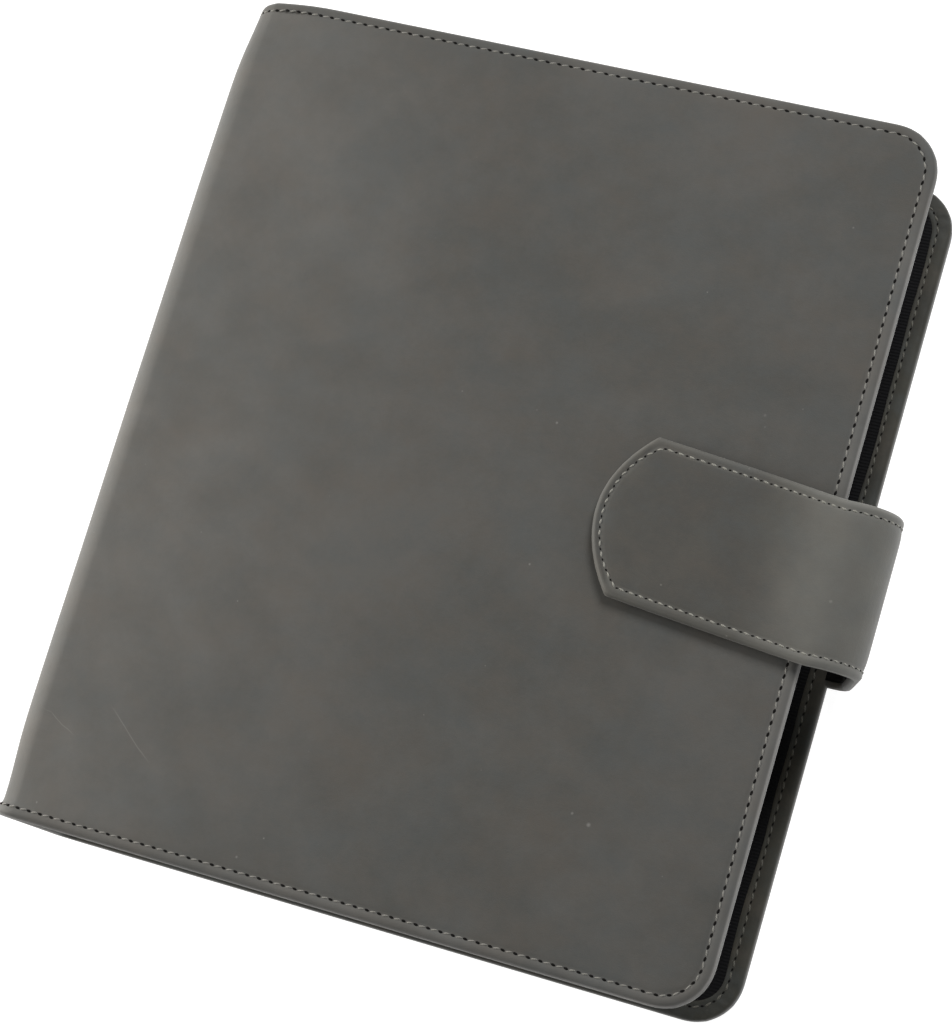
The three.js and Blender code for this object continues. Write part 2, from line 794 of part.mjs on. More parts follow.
function tabLeather() {
  const floor = strapTop - strapLeather;
  const over = strapTopRadius;
  const flat = slab(tabShape(0), floor, strapLeather, strapRimRounding).translate(0, strapCentre, 0);
  const endRounding = block(topBendX - strapRimRounding, -coverHeight, floor - 1,
    topBendX + over, coverHeight, strapTop + 1);
  const bend = tabBend(0, strapLeather, strapWidth);
  const roomTop = floor + magnetThickness;
  const magnetRoom = disc(magnetRadius + slidingGap, magnetX, strapCentre, floor - 1, roomTop);
  return cut(join(cut(flat, endRounding), bend), magnetRoom);
}

function tabLining() {
  const flat = slab(tabShape(strapLiningInset), strapUnder, strapLining).translate(0, strapCentre, 0);
  const width = strapWidth - 2 * strapLiningInset;
  return join(flat, tabBend(strapLeather, strapThickness, width));
}

function strapTab() {
  const floor = strapTop - strapLeather;
  const magnet = disc(magnetRadius, magnetX, strapCentre, floor, floor + magnetThickness - slidingGap);
  return groupOf(
    piece('strap_tab', tabLeather(), strapFinish),
    piece('strap_tab_lining', tabLining(), liningFinish),
    piece('tab_magnet', magnet, magnetFinish),
  );
}

// The whole planner, centred on its footprint
const planner = groupOf(backCover(), spine(), frontCover(), refills(), strapSide(), strapTab());
planner.position.x = -strapOuterX / 2;

export default planner;
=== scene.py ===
# %% [markdown]
# A refillable planner in soft grey leather, closed and lying on its back cover
#
# The CAD model says where every piece lies and how it moves. This lesson dresses it: leather that is
# turned in over its boards and stitched, ribbed linings, a strap that bends over the fore edge, paper
# and a ring mechanism. Everything is made in millimetres, in the frame of a bookbinder's sketch: x runs
# from the spine to the fore edge, y to the head, z up. Only the last step of each piece turns it into
# metres and puts it where the CAD model lies.

# %% Load the frame
import math
import bmesh
import bpy
from mathutils import Matrix, Vector, noise


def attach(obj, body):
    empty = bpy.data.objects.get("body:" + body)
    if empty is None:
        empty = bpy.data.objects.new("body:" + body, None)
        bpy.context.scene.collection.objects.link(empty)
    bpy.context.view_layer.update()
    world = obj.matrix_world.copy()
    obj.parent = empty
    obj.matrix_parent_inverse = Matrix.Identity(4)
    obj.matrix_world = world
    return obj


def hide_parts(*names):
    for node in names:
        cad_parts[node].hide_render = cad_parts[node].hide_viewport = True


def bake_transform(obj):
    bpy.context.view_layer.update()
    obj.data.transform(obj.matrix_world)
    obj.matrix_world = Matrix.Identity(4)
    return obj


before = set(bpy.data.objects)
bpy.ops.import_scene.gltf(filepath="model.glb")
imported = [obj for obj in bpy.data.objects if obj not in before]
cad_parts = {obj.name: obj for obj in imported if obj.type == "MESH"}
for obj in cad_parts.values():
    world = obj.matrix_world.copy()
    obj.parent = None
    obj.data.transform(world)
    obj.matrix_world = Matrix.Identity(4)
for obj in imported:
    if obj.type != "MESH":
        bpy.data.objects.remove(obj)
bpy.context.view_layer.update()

# %% [markdown]
# The sizes that drive the planner
#
# A planner cover starts as one flat sheet of leather. Half of the spine, one bend and one cover make the
# reach of each half of the sheet. Working from these few sizes keeps leather, lining and thread on the
# same bend.

# %% Sizes of the covers, in millimetres
MM = 0.001
COVER_WIDTH = 197.0
COVER_HEIGHT = 233.0
PLANNER_THICKNESS = 50.0
FOLD_RADIUS = 8.0
CORNER_RADIUS = 13.0
COVER_THICKNESS = 4.4
LINING_DEPTH = 4.0
STRAP_REACH = 15.5

HALF_HEIGHT = COVER_HEIGHT / 2
HALF_THICKNESS = PLANNER_THICKNESS / 2
SPINE_HALF = HALF_THICKNESS - FOLD_RADIUS
FOLD_LENGTH = FOLD_RADIUS * math.pi / 2
FLAT_REACH = SPINE_HALF + FOLD_LENGTH + COVER_WIDTH - FOLD_RADIUS
ROW_SHIFT = (COVER_WIDTH + STRAP_REACH) / 2
print("half of the flat sheet:", round(FLAT_REACH, 2), "mm")

# %% [markdown]
# Shader maths as plain expressions
#
# A leather finish mixes many noises. Wiring each Math node by hand hides the idea, so a small class wraps
# a socket, and an ordinary expression such as 1 - mask adds the nodes. Every other node comes from one
# method that takes its type, its settings and its sockets.

# %% A socket that can be calculated with
class Value:
    """A shader value that ordinary expressions take."""

    def __init__(self, finish, socket):
        self.finish = finish
        self.socket = socket

    def math(self, operation, first, second=0.0, clamp=False):
        settings = {"operation": operation, "use_clamp": clamp}
        return self.finish.node("ShaderNodeMath", settings, {0: first, 1: second})

    def __add__(self, other):
        return self.math("ADD", self, other)

    def __radd__(self, other):
        return self.math("ADD", other, self)

    def __sub__(self, other):
        return self.math("SUBTRACT", self, other)

    def __rsub__(self, other):
        return self.math("SUBTRACT", other, self)

    def __mul__(self, other):
        return self.math("MULTIPLY", self, other)

    def __truediv__(self, other):
        return self.math("DIVIDE", self, other)

    def sine(self):
        return self.math("SINE", self)

    def limited(self):
        return self.math("ADD", self, 0.0, clamp=True)

    def above(self, low, high):
        return self.finish.node("ShaderNodeMapRange", {"interpolation_type": "SMOOTHSTEP"},
                                {"Value": self, "From Min": low, "From Max": high})


# %% A finish: a material with one shader
class Finish:
    """A material with one shader, and the place that its textures read."""

    def __init__(self, name, place="flat", **constants):
        self.material = bpy.data.materials.new(name)
        self.material.use_nodes = True
        self.tree = self.material.node_tree
        self.shader = self.tree.nodes["Principled BSDF"]
        for socket, value in constants.items():
            self.shader.inputs[socket.replace("_", " ")].default_value = value
        if place == "flat":
            self.place = self.node("ShaderNodeAttribute", {"attribute_name": "flat"}, output="Vector")
        else:
            self.place = self.node("ShaderNodeTexCoord", output="Object")

    def node(self, kind, settings=None, sockets=None, output=0):
        node = self.tree.nodes.new(kind)
        for setting, value in (settings or {}).items():
            setattr(node, setting, value)
        for socket, value in (sockets or {}).items():
            if isinstance(value, Value):
                self.tree.links.new(value.socket, node.inputs[socket])
            else:
                node.inputs[socket].default_value = value
        return Value(self, node.outputs[output])

    def axis(self, letter, place=None):
        """One coordinate of the place, in metres."""
        return self.node("ShaderNodeSeparateXYZ", None, {0: place or self.place}, output=letter)

    def noise(self, size_mm, detail=3.0, roughness=0.55, place=None):
        sockets = {"Vector": place or self.place, "Scale": 1.0 / (size_mm * MM),
                   "Detail": detail, "Roughness": roughness}
        return self.node("ShaderNodeTexNoise", {"normalize": True}, sockets)

    def waves(self, place, pitch_mm):
        """A sine along one coordinate, one wave for every pitch."""
        return (place * (2 * math.pi / (pitch_mm * MM))).sine()

    def stretched(self, factors):
        settings = {"operation": "MULTIPLY"}
        return self.node("ShaderNodeVectorMath", settings, {0: self.place, 1: factors})

    def mix(self, factor, first, second):
        settings = {"data_type": "RGBA", "clamp_factor": True}
        return self.node("ShaderNodeMix", settings, {0: factor, 6: first, 7: second}, output=2)

    def attribute(self, name):
        return self.node("ShaderNodeAttribute", {"attribute_name": name}, output="Fac")

    def feed(self, socket, value):
        self.tree.links.new(value.socket, self.shader.inputs[socket])

    def bump(self, height, depth_mm, strength=1.0, under=None):
        sockets = {"Height": height, "Distance": depth_mm * MM, "Strength": strength}
        if under is not None:
            sockets["Normal"] = under
        return self.node("ShaderNodeBump", None, sockets)


def colour(red, green, blue):
    """A colour as a screen shows it, 0 to 255, in the linear form that a shader wants."""
    linear = [((c / 255 + 0.055) / 1.055) ** 2.4 if c > 10 else c / 255 / 12.92 for c in (red, green, blue)]
    return (*linear, 1.0)


# %% [markdown]
# Nubuck leather
#
# Nubuck is leather sanded to a fine nap and waxed. It has no shine, only soft clouds where the nap lies
# another way, patches that are a touch warmer or cooler, tiny pale specks, and paler rims where hands rub
# it, which are partly painted highlight. The clouds, the patches and the nap come from noises of different
# sizes. The rims come from an attribute that each piece stores, which also holds painted light: a lighter
# cover towards the spine and a lighter strap at its bend.

# %% Leather finishes
CLOUD_SIZE = 74.0
TINT_SIZE = 24.0
FLECKED_SIZE = 21.0
SMUDGE_SIZE = 17.0
MOTTLE_SIZE = 9.0
FLECK_SPACING = 8.0
FLECK_REACH = 0.095
NAP_SIZE = 1.3
GRAIN_SIZE = 0.34
WARM_TINT = colour(75, 68, 60)
COOL_TINT = colour(61, 67, 69)
TINT_STRENGTH = 2.0
MOTTLE_STRENGTH = 1.5
FLECK_STRENGTH = 0.48
SCRATCH_STRENGTH = 0.17
SCRATCH_WAVE = 9.0
SCRATCH_WANDER = 1.6


def scratch(finish, start, end, width):
    """1 on a thin straight scratch between two flat places in millimetres, fading to 0 beside it."""
    start, end = Vector(start), Vector(end)
    direction = (end - start).normalized()
    x = finish.axis("X", finish.flat) / MM
    y = finish.axis("Y", finish.flat) / MM
    along = (x - start.x) * direction.x + (y - start.y) * direction.y
    beside = (x - start.x) * direction.y - (y - start.y) * direction.x
    wander = (finish.noise(SCRATCH_WAVE, detail=2.0, roughness=0.5) - 0.5) * SCRATCH_WANDER
    line = 1.0 - ((beside + wander) * (beside + wander) / (width * width)).limited()
    reach = (end - start).length
    return line * along.above(0.0, reach * 0.3) * (1.0 - along.above(reach * 0.75, reach))


def pale_flecks(finish):
    """1 in the middle of a tiny speck; the specks are larger in some regions and missing in others."""
    cells = finish.node("ShaderNodeTexVoronoi", {"feature": "F1"},
                        {"Vector": finish.place, "Scale": 1.0 / (FLECK_SPACING * MM), "Randomness": 1.0})
    size = finish.noise(FLECKED_SIZE, detail=2.0, roughness=0.5).above(0.34, 0.8) * FLECK_REACH
    return 1.0 - (cells / (size + 0.001)).limited()


def nubuck(name, dark, light, worn_and_lit, shift=0.0, place="flat", scratches=()):
    """Matte leather; the shift in metres gives each leather its own clouds."""
    finish = Finish(name, place, Specular_IOR_Level=0.35, Sheen_Weight=0.18, Sheen_Roughness=0.45)
    finish.flat = finish.place
    finish.place = finish.node("ShaderNodeVectorMath", {"operation": "ADD"},
                               {0: finish.place, 1: (shift, 0.0, 0.0)})
    clouds = finish.noise(CLOUD_SIZE, detail=3.0, roughness=0.5)
    smudges = finish.noise(SMUDGE_SIZE, detail=4.0, roughness=0.55)
    mottle = finish.noise(MOTTLE_SIZE, detail=5.0, roughness=0.8)
    nap = finish.noise(NAP_SIZE, detail=5.0, roughness=0.68)
    grain = finish.noise(GRAIN_SIZE, detail=2.0, roughness=0.6)
    blend = (clouds * 0.65 + smudges * 0.35).above(0.34, 0.68)
    ground = finish.mix(blend + (mottle - 0.5) * MOTTLE_STRENGTH, dark, light)
    napped = finish.mix((nap - 0.5) * 0.4 + 0.2, ground, light)
    patches = finish.noise(TINT_SIZE, detail=5.0, roughness=0.75, place=finish.stretched((0.8, 1.1, 1.0)))
    warmth = patches - 0.5
    warmed = finish.mix(warmth * TINT_STRENGTH, napped, WARM_TINT)
    tinted = finish.mix(warmth * -TINT_STRENGTH, warmed, COOL_TINT)
    flecked = finish.mix(pale_flecks(finish) * FLECK_STRENGTH, tinted, worn_and_lit)
    for start, end, width in scratches:
        flecked = finish.mix(scratch(finish, start, end, width) * SCRATCH_STRENGTH, flecked, worn_and_lit)
    # The stored attribute mixes in the pale colour for real wear and for painted light: painted highlight on
    # the rims, painted light towards the spine and at the strap's bend.
    wear_and_painted_light = finish.attribute("wear_and_painted_light")
    rubbed_and_lit = (wear_and_painted_light * (0.8 + (smudges - 0.5) * 0.7)).limited()
    finish.feed("Base Color", finish.mix(rubbed_and_lit, flecked, worn_and_lit))
    finish.feed("Roughness", 0.70 + (clouds - 0.5) * 0.12 - rubbed_and_lit * 0.12 + (nap - 0.5) * 0.08)
    coarse = finish.bump(nap, depth_mm=0.10, strength=0.55)
    finish.feed("Normal", finish.bump(grain, depth_mm=0.05, strength=0.5, under=coarse))
    return finish.material


# A place on the flat sheet lies this much further along than its x on the closed planner.
FLAT_FROM_X = SPINE_HALF + FOLD_LENGTH - FOLD_RADIUS
SCRATCHES = (((FLAT_FROM_X + 6.0, -86.0), (FLAT_FROM_X + 18.5, -91.8), 0.16),
             ((FLAT_FROM_X + 24.0, -80.5), (FLAT_FROM_X + 41.0, -93.8), 0.2))
cover_leather = nubuck("grey_nubuck", colour(60, 60, 57), colour(74, 73, 70), colour(144, 142, 139),
                       scratches=SCRATCHES)
strap_leather = nubuck("strap_nubuck", colour(58, 57, 54), colour(71, 70, 65), colour(140, 139, 133), 0.37)
border_leather = nubuck("turned_in_nubuck", colour(29, 29, 25), colour(50, 49, 42), colour(96, 96, 90), 0.71)
pocket_leather = nubuck("pocket_nubuck", colour(48, 47, 44), colour(60, 59, 56), colour(120, 120, 116), 0.13,
                        place="object")
for leather in (cover_leather, strap_leather, border_leather, pocket_leather):
    print("leather:", leather.name)

# %% [markdown]
# Ribbed lining and thread
#
# The lining is grosgrain, a woven band with ribs across it. A sine of the flat height gives the ribs, and
# a fine noise breaks them up as yarn does. The thread is two-ply linen: the same trick on a smaller scale.

# %% Cloth and thread finishes
RIB_PITCH = 0.9
PLY_PITCH = 0.55


def grosgrain(name, dark, light):
    """Ribbed cloth: yarn noise moves each rib a little."""
    finish = Finish(name, Specular_IOR_Level=0.12, Sheen_Weight=0.06, Sheen_Roughness=0.5)
    yarn = finish.noise(RIB_PITCH, detail=3.0, roughness=0.6)
    rib = (finish.axis("Y") * (2 * math.pi / (RIB_PITCH * MM)) + yarn * 0.9).sine() * 0.5 + 0.5
    fibre = finish.noise(0.25, detail=2.0, roughness=0.6, place=finish.stretched((1.0, 0.35, 1.0)))
    finish.feed("Base Color", finish.mix(rib * 0.45 + 0.1 + (fibre - 0.5) * 0.5, dark, light))
    finish.feed("Roughness", 0.82 + (fibre - 0.5) * 0.2)
    ribbed = finish.bump(rib, depth_mm=0.16, strength=0.8)
    finish.feed("Normal", finish.bump(fibre, depth_mm=0.06, strength=0.6, under=ribbed))
    return finish.material


def linen_thread(name, dark, light):
    """Slanted plies with fuzz on them."""
    finish = Finish(name, "object", Specular_IOR_Level=0.4, Sheen_Weight=0.2)
    ply = finish.waves(finish.axis("X") + finish.axis("Y"), PLY_PITCH) * 0.5 + 0.5
    fuzz = finish.noise(0.2, detail=3.0, roughness=0.7)
    finish.feed("Base Color", finish.mix(ply * 0.45 + fuzz * 0.55, dark, light))
    finish.feed("Roughness", 0.62 + (fuzz - 0.5) * 0.3)
    finish.feed("Normal", finish.bump(ply * 0.6 + fuzz * 0.4, depth_mm=0.06, strength=0.8))
    return finish.material


lining_cloth = grosgrain("black_grosgrain", colour(5, 5, 7), colour(13, 13, 15))
strap_cloth = grosgrain("strap_grosgrain", colour(9, 9, 10), colour(22, 22, 24))
thread = linen_thread("grey_linen_thread", colour(92, 91, 86), colour(134, 132, 126))
strap_thread = linen_thread("pale_linen_thread", colour(104, 103, 96), colour(152, 150, 142))
inner_thread = linen_thread("shaded_linen_thread", colour(54, 53, 47), colour(100, 98, 89))

# %% [markdown]
# Awl holes
#
# Between two stitches the needle leaves a small pit that lies in shade. At this size a shallow lens pressed
# into the leather and painted dark for that shade reads as a hole from every side, and needs only a few
# faces.

# %% Hole finish: painted shade
def pit_shade_finish(name):
    finish = Finish(name, "object", Specular_IOR_Level=0.1)
    fuzz = finish.noise(0.3, detail=2.0, roughness=0.5)
    finish.feed("Base Color", finish.mix(fuzz, colour(8, 8, 8), colour(24, 23, 22)))
    finish.feed("Roughness", 0.9 + (fuzz - 0.5) * 0.1)
    finish.feed("Normal", finish.bump(fuzz, depth_mm=0.03, strength=0.5))
    return finish.material


shaded_awl_pit = pit_shade_finish("shaded_awl_pit")

# %% [markdown]
# From the flat sheet to the planner
#
# Leather is drawn flat: u runs along the sheet from the middle of the spine, y to the head, and the depth
# goes from the outer face inwards. One function bends a flat point round the spine. It also gives the bend
# its soft ends, which no board holds, and the front cover its bowed head edge. The flat place is kept as an
# attribute too, so that the nap and the ribs stay on the leather when a cover opens.

# %% Bending a flat point
FOLD_END = SPINE_HALF + FOLD_LENGTH
STITCH_INSET = 3.0
TAIL_PINCH = 1.0
HEAD_PINCH = 1.6
RIM_FLARE = 0.5
FADE_INSIDE = 4.0
FADE_OUTSIDE = 6.0
SEAM_STEP = 0.7
TAIL_FADE = (7.0, 26.0)
FLARE_FADE = (0.8, 2.6)
HEAD_FADE = 22.0
HEAD_BOW = 2.2
HEAD_DROP = 2.6
BOW_START = SPINE_HALF - 10.0
BOW_TOP = FOLD_END + 12.0
BOW_ROOT = HALF_HEIGHT * 0.2


def smooth_share(value, low, high):
    """0 below the low value, 1 above the high one, and a soft step between them."""
    share = min(1.0, max(0.0, (value - low) / (high - low)))
    return share * share * (3 - 2 * share)


def fold_pinch(along, y):
    """No board holds the bend: it sinks at the head, and just inside the seam at the tail."""
    at_fold = smooth_share(along, SPINE_HALF - FADE_OUTSIDE, SPINE_HALF + FADE_INSIDE)
    at_fold *= 1 - smooth_share(along, FOLD_END - FADE_INSIDE, FOLD_END + FADE_OUTSIDE)
    above_tail = HALF_HEIGHT + y
    sunk = smooth_share(above_tail, STITCH_INSET, STITCH_INSET + SEAM_STEP)
    sunk *= 1 - smooth_share(above_tail, *TAIL_FADE)
    flared = 1 - smooth_share(above_tail, *FLARE_FADE)
    sunk_head = 1 - smooth_share(HALF_HEIGHT - y, 0.0, HEAD_FADE)
    return at_fold * (TAIL_PINCH * sunk + HEAD_PINCH * sunk_head - RIM_FLARE * flared)


def head_bow(along, y):
    """The head edge isn't straight: it rises beside the spine and falls towards the fore edge."""
    rise = HEAD_BOW * smooth_share(along, BOW_START, BOW_TOP)
    fall = HEAD_DROP * max(0.0, along - BOW_TOP) / (FLAT_REACH - BOW_TOP)
    return (rise - fall) * smooth_share(y, BOW_ROOT, HALF_HEIGHT)


def bent(point, side):
    """A flat point (u, y, depth) on the closed planner; side is 1 for the front and -1 for the back."""
    along, y, depth = point
    depth += fold_pinch(along, y)
    if side > 0:
        y += head_bow(along, y)
    if along < SPINE_HALF:
        x, rise = depth, along
    elif along < FOLD_END:
        angle = (along - SPINE_HALF) / FOLD_RADIUS
        radius = FOLD_RADIUS - depth
        x = FOLD_RADIUS - radius * math.cos(angle)
        rise = SPINE_HALF + radius * math.sin(angle)
    else:
        x = along - FOLD_END + FOLD_RADIUS
        rise = HALF_THICKNESS - depth
    return Vector((x, y, HALF_THICKNESS + side * rise))


def store_flat(bm, side=1):
    """Keeps each vertex's flat place; the back half counts its u downwards, so the nap runs on."""
    layer = bm.verts.layers.float_vector.new("flat")
    for vert in bm.verts:
        vert[layer] = Vector((vert.co.x * side, vert.co.y, vert.co.z)) * MM


# %% From a sketch to an object
LEVEL_NORMAL = 0.9
AREA_SHARE = 1e-6


def bend_sheet(bm, bend, side=1):
    for vert in bm.verts:
        vert.co = bend(vert.co, side)


def face_outwards(bm, mirrored):
    """Turns the faces of a flat open shell so that they point outwards once it is bent.

    The outermost level face says which way that is, and among faces of one depth the largest.
    """
    bmesh.ops.recalc_face_normals(bm, faces=bm.faces[:])
    level = [face for face in bm.faces if abs(face.normal.z) > LEVEL_NORMAL]
    outermost = max(level, key=lambda face: face.calc_area() * AREA_SHARE - face.calc_center_median().z)
    if (outermost.normal.z > 0) != mirrored:
        bmesh.ops.reverse_faces(bm, faces=bm.faces[:])


def mesh_of(bm, name, *materials):
    """Turns a finished sketch into a mesh."""
    mesh = bpy.data.meshes.new(name)
    bm.to_mesh(mesh)
    bm.free()
    for material in materials:
        mesh.materials.append(material)
    return mesh


def placed(name, data):
    """A new object at the origin that carries the given mesh, lamp or camera."""
    thing = bpy.data.objects.new(name, data)
    bpy.context.scene.collection.objects.link(thing)
    return thing


def make_piece(bm, name, material, smooth=True, closed=True):
    """Turns the millimetres into metres in the row's frame and makes the object at the origin."""
    if closed:
        bmesh.ops.recalc_face_normals(bm, faces=bm.faces[:])
    if "flat" not in bm.verts.layers.float_vector:
        store_flat(bm)
    bmesh.ops.translate(bm, vec=(-ROW_SHIFT, 0, 0), verts=bm.verts[:])
    bmesh.ops.scale(bm, vec=(MM, MM, MM), verts=bm.verts[:])
    for face in bm.faces:
        face.smooth = smooth
    print(name, len(bm.faces), "faces")
    return placed(name, mesh_of(bm, name, material))


def row(x, y, z):
    """A place in millimetres of the sketch as metres of the row."""
    return ((x - ROW_SHIFT) * MM, y * MM, z * MM)


def modifier(obj, kind, **settings):
    added = obj.modifiers.new(kind.title(), kind)
    for setting, value in settings.items():
        setattr(added, setting, value)
    return added


def smoothed(obj, levels=1):
    modifier(obj, "SUBSURF", levels=levels, render_levels=levels)


# %% [markdown]
# The flat cover sheet
#
# A plane with four rounded corners is the whole cover laid flat. Insetting it again and again gives rings
# that follow the rim, and each ring gets its own depth: a rounded rim, a shallow groove for the thread,
# then the flat face. The turned-in border on the inside is made from the same outline, so the two can be
# bridged edge to edge round the rim.

# %% Rings that follow the rim
CORNER_STEPS = 10


def sheet_outline(bm, reach, half, corner):
    """A face of the given half sizes with rounded corners, and its four corner vertices bevelled."""
    made = bmesh.ops.create_grid(bm, x_segments=1, y_segments=1, size=1.0)
    bmesh.ops.scale(bm, vec=(reach, half, 1.0), verts=made["verts"])
    bmesh.ops.bevel(bm, geom=made["verts"], offset=corner, segments=CORNER_STEPS, profile=0.5,
                    affect="VERTICES", material=-1)
    return max(bm.faces, key=lambda face: face.calc_area())


def set_depth(verts, depth):
    for vert in verts:
        vert.co.z = depth


def ringed(bm, face, rings):
    """Insets a face ring by ring; each ring is (distance from the rim, depth)."""
    before = 0.0
    for distance, depth in rings:
        bmesh.ops.inset_region(bm, faces=[face], thickness=distance - before, use_even_offset=True,
                               use_boundary=True)
        set_depth(face.verts, depth)
        before = distance
    return face


def rim_distance(along, y, reach=FLAT_REACH, half=HALF_HEIGHT, corner=CORNER_RADIUS):
    """How far a flat point lies inside the rim of the sheet."""
    across = max(abs(along) - (reach - corner), 0.0)
    up = max(abs(y) - (half - corner), 0.0)
    if across and up:
        return corner - math.hypot(across, up)
    return min(reach - abs(along), half - abs(y))


# %% Depths of the rim, the thread groove and the turned-in border
RIM_START = 1.7
GROOVE_DEPTH = 0.28
FACE_RINGS = ((0.22, 1.05), (0.65, 0.5), (1.25, 0.15), (2.3, 0.0), (STITCH_INSET, GROOVE_DEPTH), (3.7, 0.0),
              (5.5, 0.0), (9.0, 0.0))
BORDER_STITCH_INSET = 3.8
BORDER_STITCH_DEPTH = COVER_THICKNESS - 0.22
BORDER_WIDTH = 5.2
BORDER_RINGS = ((0.22, 3.4), (0.65, 3.92), (1.25, 4.25), (2.0, 4.38), (3.1, COVER_THICKNESS),
                (BORDER_STITCH_INSET, BORDER_STITCH_DEPTH), (4.4, COVER_THICKNESS), (4.8, COVER_THICKNESS),
                (BORDER_WIDTH, 4.3))
RAW_EDGE_DEPTH = 3.5
BORDER_FACE_DEPTH = 3.6
RAW_EDGE_WIDTH = 0.12

# %% Cuts across a sheet
GRID_STEP = 7.0
FOLD_CUTS = 16
BEND_SPARE = 0.5
ALONG = (1, 0, 0)
ACROSS = (0, 1, 0)


def sliced(bm, place, normal, **clearing):
    """Cuts every face along a plane; clearing takes one side away."""
    everything = bm.verts[:] + bm.edges[:] + bm.faces[:]
    bmesh.ops.bisect_plane(bm, geom=everything, plane_co=place, plane_no=normal, **clearing)


def grid_cuts(bm, start, end, step, normal):
    """Even cuts between two places, none at the ends."""
    count = max(1, round((end - start) / step))
    for number in range(1, count):
        place = start + (end - start) * number / count
        sliced(bm, Vector(normal) * place, normal)


def cut_sheet(bm):
    """Half a sheet: cut off at the middle of the spine, with fine cuts across the bend."""
    sliced(bm, (0, 0, 0), ALONG, clear_inner=True)
    grid_cuts(bm, 0.0, SPINE_HALF, GRID_STEP, ALONG)
    grid_cuts(bm, SPINE_HALF - BEND_SPARE, FOLD_END + BEND_SPARE, FOLD_LENGTH / FOLD_CUTS, ALONG)
    grid_cuts(bm, FOLD_END + GRID_STEP / 2, FLAT_REACH, GRID_STEP, ALONG)
    grid_cuts(bm, -HALF_HEIGHT, HALF_HEIGHT, GRID_STEP, ACROSS)


def open_edges(bm):
    return [edge for edge in bm.edges if edge.is_boundary]


def taken_in(bm, other):
    """Moves the faces of another sketch into this one."""
    spare = mesh_of(other, "spare")
    bm.from_mesh(spare)
    bpy.data.meshes.remove(spare)


# %% [markdown]
# Life in the leather
#
# A sheet of leather is never a perfect plane. It swells a little over the board, its raw edge inside the
# cover wanders, and it gathers into small folds where it is turned in round a corner. These are moves of
# a millimetre at most, made with smooth noise and a sine on the flat places. The same step stores how
# far hands have rubbed the nap, together with painted highlight on the rims and painted light towards the
# spine.

# %% Swelling, wandering edge and pleats
SWELL = 0.35
SWELL_EVEN = 0.4
SWELL_REACH = 14.0
SWELL_WAVE = 0.02
SWELL_LAYER = 0.3
RAW_EDGE_WANDER = 1.4
RAW_EDGE_WAVE = 0.055
RAW_EDGE_LAYER = 4.0
RAW_EDGE_REACH = 0.3
WANDER_MARGIN = 20.0
PLEAT_DEPTH = 0.6
PLEAT_START = (0.5, 1.4)
PLEAT_END = (2.6, 3.6)


def at_least(lowest, share):
    """A share that starts at the lowest value instead of 0 and still ends at 1."""
    return lowest + (1 - lowest) * share


def swelling(along, y, inside, side):
    """The leather swells over the board's padding, more in some places than in others."""
    share = min(1.0, (inside - STITCH_INSET) / SWELL_REACH)
    place = Vector((along * side * SWELL_WAVE, y * SWELL_WAVE, SWELL_LAYER))
    return share * SWELL * at_least(SWELL_EVEN, noise.noise(place))


def edge_wander(along, y, side):
    """The move of the raw edge towards or away from the sheet's middle."""
    wander = noise.noise(Vector((along * side * RAW_EDGE_WAVE, y * RAW_EDGE_WAVE, RAW_EDGE_LAYER)))
    lowest = WANDER_MARGIN - HALF_HEIGHT
    centre = Vector((min(along, FLAT_REACH - WANDER_MARGIN), max(lowest, min(-lowest, y))))
    inwards = centre - Vector((along, y))
    if inwards.length == 0:
        return inwards
    return inwards.normalized() * wander * RAW_EDGE_WANDER


def pleat(along, y, inside):
    """The turned-in leather gathers into small folds round each corner."""
    across = along - (FLAT_REACH - CORNER_RADIUS)
    up = abs(y) - (HALF_HEIGHT - CORNER_RADIUS)
    if across <= 0 or up <= 0:
        return 0.0
    gathered = smooth_share(inside, *PLEAT_START) * (1 - smooth_share(inside, *PLEAT_END))
    return PLEAT_DEPTH * math.sin(math.atan2(up, across) * CORNER_STEPS) ** 2 * gathered


# %% Wear of the nap, with painted highlight and painted light
# The rim and band values stand for real wear and painted highlight together; the head edge gets less of both.
RIM_WEAR_AND_HIGHLIGHT = 0.68
RIM_TURN_WEAR_AND_HIGHLIGHT = 0.2 * RIM_WEAR_AND_HIGHLIGHT
RIM_TURN = 0.1
RIM_REACH = 0.4
INNER_RIM_WEAR = 0.3
INNER_RIM_REACH = 0.5
BAND_WEAR_AND_HIGHLIGHT = 0.15
BAND_END = STITCH_INSET + 0.2
# Painted light: the cover's outer face is lighter near the spine's bend and fades out 90 mm further on.
SPINE_SIDE_PAINTED_LIGHT = 0.12
SPINE_LIGHT_END = FOLD_END + 90.0
HEAD_FADE_OF_WEAR_AND_LIGHT = (4.0, 30.0)
FORE_WORN_AND_LIT = (FLAT_REACH - 60.0, FLAT_REACH - 15.0)


def wear_and_light_share(along, y, inside, outer_face):
    """Wear of the nap: most on the rim at the fore edge and a little on the seam's band, both partly painted
    highlight; painted light near the spine's bend.
    """
    if not outer_face:
        return INNER_RIM_WEAR if inside < INNER_RIM_REACH else 0.0
    below_head = smooth_share(HALF_HEIGHT - y, *HEAD_FADE_OF_WEAR_AND_LIGHT)
    if inside < RIM_TURN:
        return RIM_TURN_WEAR_AND_HIGHLIGHT
    if inside < RIM_REACH:
        return RIM_WEAR_AND_HIGHLIGHT * at_least(0.25, below_head) * at_least(0.3, smooth_share(along, *FORE_WORN_AND_LIT))
    if inside < BAND_END:
        return BAND_WEAR_AND_HIGHLIGHT * at_least(0.2, below_head)
    return SPINE_SIDE_PAINTED_LIGHT * (1 - smooth_share(along, FOLD_END, SPINE_LIGHT_END))


